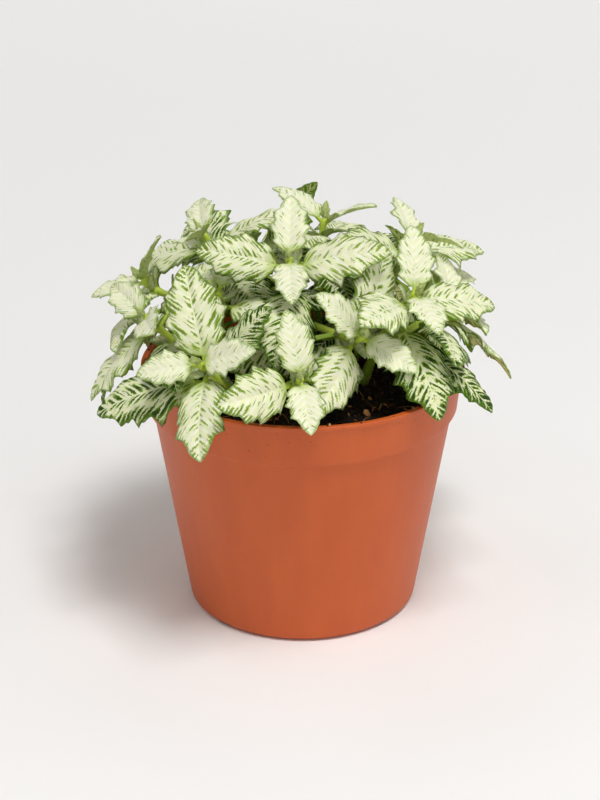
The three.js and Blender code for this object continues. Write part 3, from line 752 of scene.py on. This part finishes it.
def marginFactor(leaf, v, t):
    # the margin runs from a valley out to a tooth's point and back, as on the solid, with a small tooth in
    # between, teeth of uneven size, and a plain run from the last point to the tip
    form = fineLeaf
    place = np.clip(v, 0, 1) * leaf["teeth"]
    inTooth, number = place % 1, np.floor(place)
    peak, low, high = bladeForm["toothPeak"], bladeForm["toothIn"], bladeForm["toothOut"]
    rise = np.where(inTooth < peak, inTooth / peak, (1 - inTooth) / (1 - peak))
    rise = np.where(place > leaf["teeth"] - 1 + peak, 1, rise) ** form["toothCurve"]
    low = np.where(place < peak, 1, low)
    small = (form["smallTeeth"] * place + np.where(t > 0, *form["smallAhead"])) % 1
    small = np.where(small < peak, small / peak, (1 - small) / (1 - peak)) - 0.5
    byTooth, byLeaf, byHalf = form["unevenTurns"]
    uneven = np.sin(byTooth * number + byLeaf * leaf["phase"] + np.where(t > 0, byHalf, 0))
    inside = smooth(place, 0, 0.5) * smooth(leaf["teeth"] - place, 0, 0.5)
    extra = (form["smallTooth"] * small + form["unevenTooth"] * uneven * rise) * inside
    return low + (high - low) * rise + extra


def leafBody(body, leaf, youth, seed, grid):
    # a closed sheet: each row is a ring over the upper face from the left margin to the right one and back
    # underneath. Its height over the form is half its thickness, rounded off at the margin, less the rib
    # below, plus a pillow |sin(pi k)|^0.5 between side veins, k counting them along the rib
    form = fineLeaf
    root = (bladeForm["rootInset"] - leaf["stalk"]) / leaf["length"]
    bladeRows, columns = grid["rowsPerTooth"] * leaf["teeth"], grid["columns"]
    rowsAt = np.concatenate([np.linspace(root, 0, form["stalkRows"]), np.arange(1, bladeRows) / bladeRows])
    u = np.linspace(-1, 1, columns)
    overTop = np.sign(u) * np.abs(u) ** form["columnPower"]
    ringAt = np.concatenate([overTop, overTop[-2:0:-1]])
    face = np.concatenate([np.ones(columns), -np.ones(columns - 2)])
    face[[0, columns - 1]] = 0
    v, t = np.meshgrid(rowsAt, ringAt, indexing="ij")
    factor = marginFactor(leaf, v, t)
    tooth = 1 + (factor - 1) * np.abs(t) ** form["toothPower"]
    half = halfWidth(leaf, v)
    x = np.abs(t) * tooth * half
    lean = form["veinLean"] * x + form["veinBend"] * x * x / leaf["halfWidth"]
    k = form["sideVeins"] * (v * leaf["length"] - lean) / leaf["length"]
    k = k + np.where(t > 0, form["veinShift"], 0)
    onBlade = smooth(v, *form["bladeFrom"])
    stalkLift, stalkRound = form["stalkLift"] * leaf["stalkHalf"], np.sqrt(np.clip(1 - t * t, 0, 1))
    bladeRound = np.sqrt(np.clip(1 - t ** form["edgePower"], 0, 1))
    thick = stalkLift * stalkRound * (1 - onBlade) + form["halfThickness"] * bladeRound * onBlade
    rib = form["ribDepth"] * np.minimum(1, 1 - v) * np.exp(-(x / form["ribHalf"]) ** 2)
    rib = rib * (leaf["halfWidth"] > form["ribbedFrom"])
    pillow = form["pillow"] * np.sqrt(np.abs(np.sin(np.pi * k))) * smooth(x, *form["pillowFrom"]) * onBlade
    pillow = pillow * smooth(1 - np.abs(t), 0, form["pillowEdge"]) * (1 - form["pillowYoung"] * youth)
    pillow = pillow * leaf["halfWidth"] / form["pillowHalf"]
    points = onLeaf(leaf, v, t * tooth, face * thick - np.where(face < 0, rib, 0) + pillow).reshape(-1, 3)
    ends = onLeaf(leaf, np.array([root, 1.0]), np.zeros(2), np.zeros(2))
    ring, rows = len(ringAt), len(rowsAt)
    faces = closedFaces(rows, ring, outward=False)
    tipLooks = np.where(np.arange(ring) < columns - 1, foliageSlots["upper"], foliageSlots["under"])
    looks = np.tile(tipLooks, rows - 1)
    looks[np.repeat(rowsAt[:-1] < 0, ring)] = foliageSlots["stem"]
    looks = np.concatenate([looks, np.full(ring, foliageSlots["stem"]), tipLooks])
    pitch = leaf["length"] / form["sideVeins"]
    vein = np.stack([k, x / pitch, np.maximum(0, factor * half - x)], -1).reshape(-1, 3)
    tone = np.stack([np.full(v.shape, youth), np.full(v.shape, seed), v], -1).reshape(-1, 3)
    endVein = [[0, 0, 1], [form["sideVeins"], 0, 0]]
    body.add(np.concatenate([points, ends]), faces, looks, vein=np.concatenate([vein, endVein]),
             tone=np.concatenate([tone, [[youth, seed, root], [youth, seed, 1]]]))


def smallLeaf(form, root, direction, out, length, phase):
    # a leaflet in the grown leaves' own terms, with its upper face to the shoot
    up = unit(direction - out * (out @ direction))
    return {**form, "root": root, "out": out, "up": up, "side": np.cross(up, out), "length": length,
            "path": form["stalk"] + length, "halfWidth": form["halfShare"] * length,
            "droop": math.radians(form["droop"]), "phase": phase}


def budLeaf(shoot, pair, facing):
    # a small unopened leaf that stands at the shoot's tip, bent inwards
    direction = curveDirection(shoot["control"], 1.0)
    across, over = crossAxes(direction)
    turn = math.radians(shoot["turn"] - 90 * (pair + 1) + 180 * facing)
    angle = math.radians(budForm["angle"][pair])
    out = direction * math.cos(angle) + (across * math.cos(turn) + over * math.sin(turn)) * math.sin(angle)
    root = curvePoint(shoot["control"], 1.0) - direction * budForm["inset"][pair]
    phase = spread(shoot["number"] + 3 * pair + facing, 8)
    return smallLeaf(budForm, root, direction, out, budForm["length"][pair], phase)


def axilLeaf(leaf, facing):
    # one of the two leaflets of the side bud that stands between the stem and a leaf's stalk
    form, shoot = axilForm, leaf["shoot"]
    direction = curveDirection(shoot["control"], 1 - leaf["down"] / shoot["reach"])
    middle = unit(direction + form["lean"] * leaf["out"])
    beside = unit(np.cross(middle, leaf["out"])) * (1 if facing else -1)
    angle = math.radians(form["angle"] + form["angleVary"] * spread(leaf["index"] + facing, 14))
    out = middle * math.cos(angle) + beside * math.sin(angle)
    small, large = form["length"]
    length = small + (large - small) * (spread(leaf["index"] + 3 * facing, 15) + 1) / 2
    root, phase = leaf["root"] + direction * form["rise"], spread(leaf["index"] + facing, 16)
    return smallLeaf(form, root, direction, out, length, phase)


def stemPath(shoot):
    # the shoot's middle line and its radius, which swells by a bell curve at every leaf pair
    t = np.linspace(0, 1, math.ceil(shoot["reach"] / stemForm["step"]))
    start = shoot.get("from", 0)
    share = start + t * (1 - start)
    radius = stemForm["footRadius"] + (stemForm["tipRadius"] - stemForm["footRadius"]) * share
    for age in range(shoot["pairs"]):
        away = (t - 1) * shoot["reach"] + leafAges[age]["down"]
        radius = radius * (1 + stemForm["knuckle"] * np.exp(-(away / stemForm["knuckleLength"]) ** 2))
    return curvePoint(shoot["control"], t), radius, share


def stemBody(body, shoot, rng):
    # the stem's tube, then its hairs: slim three-sided spikes that stand off its skin
    path, radius, share = stemPath(shoot)
    points, faces = tubeSurface(path, radius, stemForm["sides"], *stemForm["noses"])
    shares = np.concatenate([np.repeat(share, stemForm["sides"]), share[[0, -1]]])
    tone = np.stack([shares, np.full(len(shares), spread(shoot["number"], 9)), np.zeros(len(shares))], -1)
    body.add(points, faces, foliageSlots["stem"], vein=np.zeros(3), tone=tone)
    count = int(hairForm["perMm"] * shoot["reach"])
    bareMain, bareFork = hairForm["from"]
    at = rng.uniform(bareFork if "from" in shoot else bareMain, 1, count) * (len(path) - 1)
    first = np.minimum(at.astype(int), len(path) - 2)
    part = (at - first)[:, None]
    middle = path[first] * (1 - part) + path[first + 1] * part
    direction = unit(path[first + 1] - path[first])
    across, over = crossAxes(direction)
    angle = rng.uniform(0, 2 * np.pi, count)[:, None]
    outward = across * np.cos(angle) + over * np.sin(angle)
    roots = middle + outward * radius[first][:, None] * hairForm["rooted"]
    points, faces = hairSpikes(roots, unit(outward + hairForm["lean"] * rng.normal(size=(count, 3))), rng)
    body.add(points, faces, foliageSlots["hair"], vein=np.zeros(3), tone=np.zeros(3))


def hairSpikes(roots, direction, rng):
    # for each root a triangle round it and one point at the hair's length
    across, over = crossAxes(direction)
    length = rng.uniform(*hairForm["length"], len(roots))[:, None]
    corners = [roots + hairForm["radius"] * (across * math.cos(a) + over * math.sin(a))
               for a in (0, 2 * math.pi / 3, 4 * math.pi / 3)]
    points = np.stack([*corners, roots + direction * length], 1).reshape(-1, 3)
    faces = np.array([[0, 1, 3, -1], [1, 2, 3, -1], [2, 0, 3, -1], [2, 1, 0, -1]])
    step = 4 * np.arange(len(roots))[:, None, None]
    return points, np.where(faces >= 0, faces + step, -1).reshape(-1, 4)


def buildLeafyStem(number, shoots, leaves, materials):
    body = Body()
    rng = np.random.default_rng(hairForm["seed"] + number)
    for shoot in [one for one in shoots if one["cutting"] == number]:
        stemBody(body, shoot, rng)
        for pair in (0, 1):
            for facing in (0, 1):
                seed = spread(shoot["number"], 10)
                leafBody(body, budLeaf(shoot, pair, facing), budForm["youth"], seed, budForm)
    for leaf in [one for one in leaves if one["shoot"]["cutting"] == number]:
        youth = fineLeaf["youth"][leaf["age"]] + fineLeaf["youthVary"] * spread(leaf["index"], 7)
        leafBody(body, leaf, youth, spread(leaf["index"], 11), fineLeaf)
        if leaf["age"] and (spread(leaf["index"], 13) + 1) / 2 < axilForm["share"]:
            for facing in (0, 1):
                seed = spread(leaf["index"] + facing, 12)
                leafBody(body, axilLeaf(leaf, facing), axilForm["youth"], seed, axilForm)
    piece = meshPiece(f"grown_stem_{number + 1}", body, materials)
    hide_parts(f"leafy_stem_{number + 1}")
    return piece


# the materials

leafLook = {
    # cells of the vein net in one side-vein step, 5 mm on a grown leaf, across the side veins and along them
    "netCells": (2.0, 0.72, 0.0), "netRandom": 0.85,
    "netSway": (0.9, 0.5, 0.0), "swayScale": 1.7,
    "ownShift": (0.0, 37.0, 0.0),  # sets the leaves' patterns apart, by the leaf's own number in tone
    "wallWhite": (0.045, 0.34),  # a cell wall is white up to here and green past the next, grown to young
    "wallGreen": (0.15, 0.6),
    "deepGreen": (0.08, 0.3),  # and darkest this much further in
    "marginDeep": 0.14, "marginReach": 4.5,  # the cells widen by this, from so many mm off the margin
    "sideHalf": (0.05, 0.15), "sideTaper": 0.03, "sideWander": 0.16,
    "ribHalf": (0.06, 0.19), "ribTaper": 1.25,
    "grown": 0.12,  # the youth of the oldest leaves
    "paleFrom": 0.4,  # islands are paler on younger leaves than this
    "creamier": 0.42,  # the white between two side veins takes so much of the cream
    "halo": 0.9,  # how much lime there is where a vein fades into an island
    "blotchScale": 3.1, "blotch": 0.3,
    "marginWidth": (-0.4, 0.7), "marginFray": -1.6,  # mm
    "marginStrength": (0.92, 0.55),  # grown to young
    "baseReach": 0.16, "baseStrength": 0.75,
    "veinRoughness": 0.08,  # the veins are duller than the islands by this
    # the skin's cells are 0.05 mm wide, too fine to show, so they are drawn as 22 to a side-vein step
    "grainScale": 22.0, "grain": 0.35, "bump": (0.9, 0.0004),
}
leafSkins = {
    "upper face": {"roughness": 0.46, "bump": -1.0, "colours": {  # where veins are sunk
        "islandDark": "#2a4603", "island": "#628c08", "islandYoung": "#bcd455", "halo": "#95bc10",
        "vein": "#f0f3ca", "veinYoung": "#fafae4", "cream": "#e4eba4", "margin": "#4a7208",
        "marginYoung": "#7ea41a", "base": "#b0cc34"}},
    "underside": {"roughness": 0.56, "bump": 1.0, "colours": {  # where they are raised
        "islandDark": "#6c9426", "island": "#88a834", "islandYoung": "#b6cc62", "halo": "#a4be4c",
        "vein": "#dde8a0", "veinYoung": "#e8efb0", "cream": "#d0de88", "margin": "#789c28",
        "marginYoung": "#9ab844", "base": "#b0ca48"}},
}


def leafMaterial(face):
    # living leaf: cream-white veins in a net of long cells, green islands between them and a green margin,
    # with a thin waxy shine and a little light let in. vein is (side veins counted along the rib, distance
    # from the rib in side-vein steps, mm to the margin), tone is (how young, own number, share of length)
    look, skinForm = leafLook, leafSkins[face]
    colours = {part: linear(value) for part, value in skinForm["colours"].items()}
    material, tree, shader = newMaterial(
        f"fittonia leaf, {face}", Roughness=skinForm["roughness"], IOR=1.42, Specular_IOR_Level=0.35,
        Subsurface_Weight=0.3, Subsurface_Radius=(0.8, 1.0, 0.3), Subsurface_Scale=0.0006)
    vein = node(tree, "Attribute", output="Vector", attribute_name="vein")
    tone = node(tree, "Attribute", output="Vector", attribute_name="tone")
    k, fromRib, edge = node(tree, "SeparateXYZ", {0: vein}, output=slice(3))
    youth, _, share = node(tree, "SeparateXYZ", {0: tone}, output=slice(3))
    own = node(tree, "VectorMath", {0: tone, 1: look["ownShift"]}, operation="MULTIPLY")
    place = node(tree, "VectorMath", {0: vein, 1: own}, operation="ADD")

    # how far into an island a place lies: the distance to the walls of long, swaying cells
    sway = node(tree, "TexNoise", {"Vector": place, "Scale": look["swayScale"], "Detail": 2.0},
                output="Color")
    sway = node(tree, "VectorMath", {0: sway, 1: (0.5, 0.5, 0.5)}, operation="SUBTRACT")
    cells = node(tree, "VectorMath", {0: place, 1: look["netCells"]}, operation="MULTIPLY")
    cells = node(tree, "VectorMath", {0: sway, 1: look["netSway"], 2: cells}, operation="MULTIPLY_ADD")
    wall = node(tree, "TexVoronoi", {"Vector": cells, "Scale": 1.0, "Randomness": look["netRandom"]},
                output="Distance", feature="DISTANCE_TO_EDGE", voronoi_dimensions="2D")
    outer = node(tree, "MapRange", {"Value": edge, "From Max": look["marginReach"],
                                    "To Min": look["marginDeep"], "To Max": 0.0})
    wall = node(tree, "Math", {0: wall, 1: outer}, operation="ADD")
    wallWhite, wallGreen = [
        node(tree, "MapRange", {"Value": youth, "From Min": look["grown"], "To Min": look[limit][0],
                                "To Max": look[limit][1]})
        for limit in ("wallWhite", "wallGreen")]

    # white where a cell wall, a side vein or the rib is near
    swayAcross = node(tree, "SeparateXYZ", {0: sway})
    toSide = node(tree, "Math", {0: swayAcross, 1: look["sideWander"], 2: k}, operation="MULTIPLY_ADD")
    toSide = node(tree, "Math", {0: toSide, 1: 0.5}, operation="PINGPONG")
    toSide = node(tree, "Math", {0: fromRib, 1: look["sideTaper"], 2: toSide}, operation="MULTIPLY_ADD")
    slim = node(tree, "Math", {0: look["ribTaper"], 1: share}, operation="SUBTRACT")
    toRib = node(tree, "Math", {0: fromRib, 1: slim}, operation="DIVIDE")
    net, side, rib = [
        node(tree, "MapRange", {"Value": value, "From Min": full, "From Max": gone, "To Min": 1.0,
                                "To Max": 0.0}, interpolation_type="SMOOTHSTEP")
        for value, (full, gone) in ((wall, (wallWhite, wallGreen)), (toSide, look["sideHalf"]),
                                    (toRib, look["ribHalf"]))]
    white = node(tree, "Math", {0: net, 1: side}, operation="MAXIMUM")
    white = node(tree, "Math", {0: white, 1: rib}, operation="MAXIMUM")

    # how much of each layer shows, from the island's green up
    blotch = node(tree, "TexNoise", {"Vector": place, "Scale": look["blotchScale"], "Detail": 3.0},
                  output="Fac")
    inner = node(tree, "Math", {0: wall, 1: wallGreen}, operation="SUBTRACT")
    inner = node(tree, "Math", {0: blotch, 1: look["blotch"], 2: inner}, operation="MULTIPLY_ADD")
    deep = node(tree, "MapRange", {"Value": inner, "From Min": look["deepGreen"][0],
                                   "From Max": look["deepGreen"][1]})
    young = node(tree, "MapRange", {"Value": youth, "From Min": look["paleFrom"]})
    between = node(tree, "MapRange", {"Value": toSide, "From Min": look["sideHalf"][1] / 2,
                                      "From Max": look["sideHalf"][1] * 2, "To Max": look["creamier"]})
    halo = node(tree, "Math", {0: white, 1: 0.5}, operation="PINGPONG")
    halo = node(tree, "Math", {0: halo, 1: 2 * look["halo"]}, operation="MULTIPLY")
    frayed = node(tree, "Math", {0: blotch, 1: look["marginFray"], 2: edge}, operation="MULTIPLY_ADD")
    strong = node(tree, "MapRange", {"Value": youth, "To Min": look["marginStrength"][0],
                                     "To Max": look["marginStrength"][1]})
    margin = node(tree, "MapRange", {"Value": frayed, "From Min": look["marginWidth"][0],
                                     "From Max": look["marginWidth"][1], "To Min": strong, "To Max": 0.0},
                  interpolation_type="SMOOTHSTEP")
    base = node(tree, "MapRange", {"Value": share, "From Max": look["baseReach"],
                                   "To Min": look["baseStrength"], "To Max": 0.0})
    pale, rim = [
        node(tree, "Mix", {0: youth, 6: colours[part], 7: colours[part + "Young"]}, output=2,
             data_type="RGBA")
        for part in ("vein", "margin")]
    pale = node(tree, "Mix", {0: between, 6: pale, 7: colours["cream"]}, output=2, data_type="RGBA")
    skin = colours["island"]
    for amount, colour in ((deep, colours["islandDark"]), (young, colours["islandYoung"]), (white, pale),
                           (halo, colours["halo"]), (margin, rim), (base, colours["base"])):
        skin = node(tree, "Mix", {0: amount, 6: skin, 7: colour}, output=2, data_type="RGBA")
    tree.links.new(skin, shader.inputs["Base Color"])
    dull = node(tree, "Math", {0: white, 1: look["veinRoughness"], 2: skinForm["roughness"]},
                operation="MULTIPLY_ADD")
    tree.links.new(dull, shader.inputs["Roughness"])
    grain = node(tree, "TexNoise", {"Vector": place, "Scale": look["grainScale"], "Detail": 2.0},
                 output="Fac")
    raised = node(tree, "Math", {0: white, 1: skinForm["bump"]}, operation="MULTIPLY")
    height = node(tree, "Math", {0: grain, 1: look["grain"], 2: raised}, operation="MULTIPLY_ADD")
    raised = node(tree, "Bump", {"Height": height, "Strength": look["bump"][0], "Distance": look["bump"][1]})
    tree.links.new(raised, shader.inputs["Normal"])
    return material


stemLook = {
    "fleck": 1.1, "fleckShare": 0.35,  # mm across a fleck, and how far it shifts the colour
    "stops": ((0.35, "#6a7c20"), (0.62, "#92ae2c"), (0.9583, "#bed24c")),  # foot to tip
    "bump": (0.4, 0.0002),
}


def stemMaterial():
    # young plant stem: yellow-green and translucent at the tip, duller olive where it is old
    material, tree, shader = newMaterial(
        "fittonia stem skin", Roughness=0.5, IOR=1.42, Subsurface_Weight=0.15,
        Subsurface_Radius=(0.8, 1.0, 0.3), Subsurface_Scale=0.001)
    tone = node(tree, "Attribute", output="Vector", attribute_name="tone")
    share = node(tree, "SeparateXYZ", {0: tone})
    spot = node(tree, "TexCoord", output="Object")
    fleck = node(tree, "TexNoise", {"Vector": spot, "Scale": cellScale(stemLook["fleck"]), "Detail": 3.0},
                 output="Fac")
    age = node(tree, "Math", {0: fleck, 1: stemLook["fleckShare"], 2: share}, operation="MULTIPLY_ADD")
    colourAndGrain(tree, shader, age, stemLook["stops"], fleck, stemLook["bump"])
    return material


def hairMaterial():
    # plant hair: colourless, so it reads as a pale bloom on the stem
    return newMaterial("fittonia stem hair", Base_Color=linear("#e6ebc2"), Roughness=0.4, IOR=1.5)[0]


potLook = {
    "stops": ((0.32, "#c2541a"), (0.68, "#c85a1d")), "streak": 11, "tall": 4,  # mm wide, and times as tall
    "dust": 1.6, "dustRoughness": 0.72, "dustFrom": (0.12, 0.2), "dustMost": 0.7, "dustColour": "#3a2013",
    "dustHeight": (0.07, 0.094), "dustLess": (0.56, 0.48),  # in metres: less dust below than at the rim
    "grain": 0.9,  # mm: the real grain is about 0.1 mm, too fine to show, so it is drawn this coarse
    "bump": (0.6, 0.00015), "roughness": (0.48, 0.85),  # bare and dusty
}


def potMaterial():
    # injection-moulded polypropylene, terracotta coloured: an even satin skin with fine spark-eroded grain,
    # slightly streaky colour, and peat dust where hands and soil have touched it
    look = potLook
    material, tree, shader = newMaterial("terracotta coloured polypropylene", Roughness=0.5, IOR=1.49)
    spot = node(tree, "TexCoord", output="Object")
    tall = node(tree, "Mapping", {"Vector": spot, "Scale": (1.0, 1.0, 1 / look["tall"])})
    streak = node(tree, "TexNoise", {"Vector": tall, "Scale": cellScale(look["streak"]), "Detail": 4.0},
                  output="Fac")
    height = node(tree, "SeparateXYZ", {0: spot}, output=2)
    less = node(tree, "MapRange", {"Value": height, "From Min": look["dustHeight"][0],
                                   "From Max": look["dustHeight"][1], "To Min": look["dustLess"][0],
                                   "To Max": look["dustLess"][1]})
    dust = node(tree, "TexNoise", {"Vector": spot, "Scale": cellScale(look["dust"]), "Detail": 6.0,
                                   "Roughness": look["dustRoughness"]}, output="Fac")
    dust = node(tree, "Math", {0: dust, 1: less}, operation="SUBTRACT")
    specks = node(tree, "MapRange", {"Value": dust, "From Min": look["dustFrom"][0],
                                     "From Max": look["dustFrom"][1], "To Max": look["dustMost"]})
    grain = node(tree, "TexNoise", {"Vector": spot, "Scale": cellScale(look["grain"]), "Detail": 2.0},
                 output="Fac")
    skin = colourAndGrain(tree, shader, streak, look["stops"], grain, look["bump"])
    skin = node(tree, "Mix", {0: specks, 6: skin, 7: linear(look["dustColour"])}, output=2,
                data_type="RGBA")
    tree.links.new(skin, shader.inputs["Base Color"])
    dull = node(tree, "MapRange", {"Value": specks, "To Min": look["roughness"][0],
                                   "To Max": look["roughness"][1]})
    tree.links.new(dull, shader.inputs["Roughness"])
    return material


soilLook = {
    "clod": 3, "bump": (0.9, 0.0012),  # mm across
    "stops": ((0.38, "#0c0805"), (0.58, "#23160d"), (0.75, "#5a3820")),  # wet to dry
    "grain": 0.9, "grainShare": 0.3,  # mm in a crumb's skin, and how far it shifts the crumb's own tone
    "crumbStops": ((0.15, "#0d0906"), (0.5, "#2c1b10"), (0.72, "#6b3f20"), (0.88, "#9a6335"),
                   (1.0, "#c08a50")),
    "crumbBump": (0.7, 0.0003),
}


def soilMaterial():
    # moist sphagnum peat: almost black where wet, brown where a crumb has dried, dull all over
    material, tree, shader = newMaterial("moist peat", Roughness=0.9, IOR=1.35)
    spot = node(tree, "TexCoord", output="Object")
    clod = node(tree, "TexNoise", {"Vector": spot, "Scale": cellScale(soilLook["clod"]), "Detail": 5.0,
                                   "Roughness": 0.65}, output="Fac")
    colourAndGrain(tree, shader, clod, soilLook["stops"], clod, soilLook["bump"])
    return material


def crumbMaterial():
    # peat crumbs, bark chips and wood fibres, dry and dull, from black to tan by each crumb's own number
    material, tree, shader = newMaterial("peat crumbs and bark", Roughness=0.85, IOR=1.4)
    own = node(tree, "Attribute", output="Fac", attribute_name="crumb")
    spot = node(tree, "TexCoord", output="Object")
    grain = node(tree, "TexNoise", {"Vector": spot, "Scale": cellScale(soilLook["grain"]), "Detail": 4.0},
                 output="Fac")
    tone = node(tree, "Math", {0: grain, 1: soilLook["grainShare"], 2: own}, operation="MULTIPLY_ADD")
    colourAndGrain(tree, shader, tone, soilLook["crumbStops"], grain, soilLook["crumbBump"])
    return material


def floorMaterial():
    # uncoated paper: matt, so the light lies evenly on it
    return newMaterial("pale paper", Base_Color=linear("#f4f3f1"), Roughness=0.9)[0]


# the stage: floor, light and camera

stageForm = {
    "floorSize": 4.4,  # metres, as all of the stage
    "view": {"elevation": 24, "distance": 0.79, "lens": 95, "sensor": 36, "aim": (-0.001, 0.0, 0.079)},
    "lamps": [  # where each soft box stands and looks, its size and its power
        {"name": "key", "place": (0.31, -0.59, 1.82), "aim": (0, 0, 0.09), "size": 0.56, "power": 22},
        {"name": "fill", "place": (1.7, -1.8, 1.0), "aim": (0, 0, 0.06), "size": 1.6, "power": 6.5},
    ],
    # these stand round the plant and look straight down, so they light the floor alone
    "floorLamps": {"count": 6, "circle": 1.6, "height": 1.5, "size": 1.0, "power": 5, "cone": 110},
    "sky": (0.68, 0.12), "skyRise": 0.5,  # its strength at the horizon, and overhead from this height
    "skyColour": "#fefefc",
}


def addLamp(name, place, aim, size, power, cone=180):
    light = bpy.data.lights.new(name, "AREA")
    light.energy, light.size, light.spread = power, size, math.radians(cone)
    holder = bpy.data.objects.new(name, light)
    holder.location = place
    holder.rotation_euler = (Vector(aim) - holder.location).to_track_quat("-Z", "Y").to_euler()
    bpy.context.scene.collection.objects.link(holder)


def buildStage():
    form = stageForm
    half = form["floorSize"] / 2 / metresPerMm
    body = Body()
    body.add(boxPoints((-half, -half, 0), (half, half, 0))[:4], np.array([[0, 1, 2, 3]]))
    floor = meshPiece("paper_floor", body, [floorMaterial()])
    floor.parent = None
    for lamp in form["lamps"]:
        addLamp(**lamp)
    far = form["floorLamps"]
    for i in range(far["count"]):
        turn = 2 * math.pi * i / far["count"]
        x, y = far["circle"] * math.sin(turn), far["circle"] * math.cos(turn)
        addLamp(f"floor_{i + 1}", (x, y, far["height"]), (x, y, 0), far["size"], far["power"], far["cone"])
    world = bpy.data.worlds.new("studio")
    world.use_nodes = True
    tree = world.node_tree
    toward = node(tree, "TexCoord", output="Generated")
    rise = node(tree, "SeparateXYZ", {0: toward}, output=2)
    low, high = form["sky"]
    strength = node(tree, "MapRange", {"Value": rise, "From Max": form["skyRise"], "To Min": low,
                                       "To Max": high}, interpolation_type="SMOOTHSTEP")
    tree.nodes["Background"].inputs["Color"].default_value = linear(form["skyColour"])
    tree.links.new(strength, tree.nodes["Background"].inputs["Strength"])
    bpy.context.scene.world = world


def buildCamera():
    view = stageForm["view"]
    lens = bpy.data.cameras.new("camera")
    lens.lens, lens.sensor_width = view["lens"], view["sensor"]
    camera = bpy.data.objects.new("camera", lens)
    angle = math.radians(view["elevation"])
    back = Vector((0, -math.cos(angle), math.sin(angle)))
    camera.location = Vector(view["aim"]) + back * view["distance"]
    camera.rotation_euler = (-back).to_track_quat("-Z", "Y").to_euler()
    bpy.context.scene.collection.objects.link(camera)
    bpy.context.scene.camera = camera


# the whole plant

buildCamera()
buildStage()
bpy.context.scene.view_settings.view_transform = "Standard"
print("stage ready")
pot = buildPot(potMaterial())
print("pot turned:", len(pot.data.polygons), "faces")
buildSoil(soilMaterial())
crumbs = buildCrumbs(crumbMaterial())
print("soil filled:", len(crumbs.data.polygons), "faces of crumbs")
shoots = growShoots()
leaves = growLeaves(shoots)
print("plant grown:", len(shoots), "shoots,", len(leaves), "leaves")
foliageLooks = [leafMaterial("upper face"), leafMaterial("underside"), stemMaterial(), hairMaterial()]
for number in range(len(cuttings)):
    piece = buildLeafyStem(number, shoots, leaves, foliageLooks)
    print(piece.name, len(piece.data.polygons), "faces")
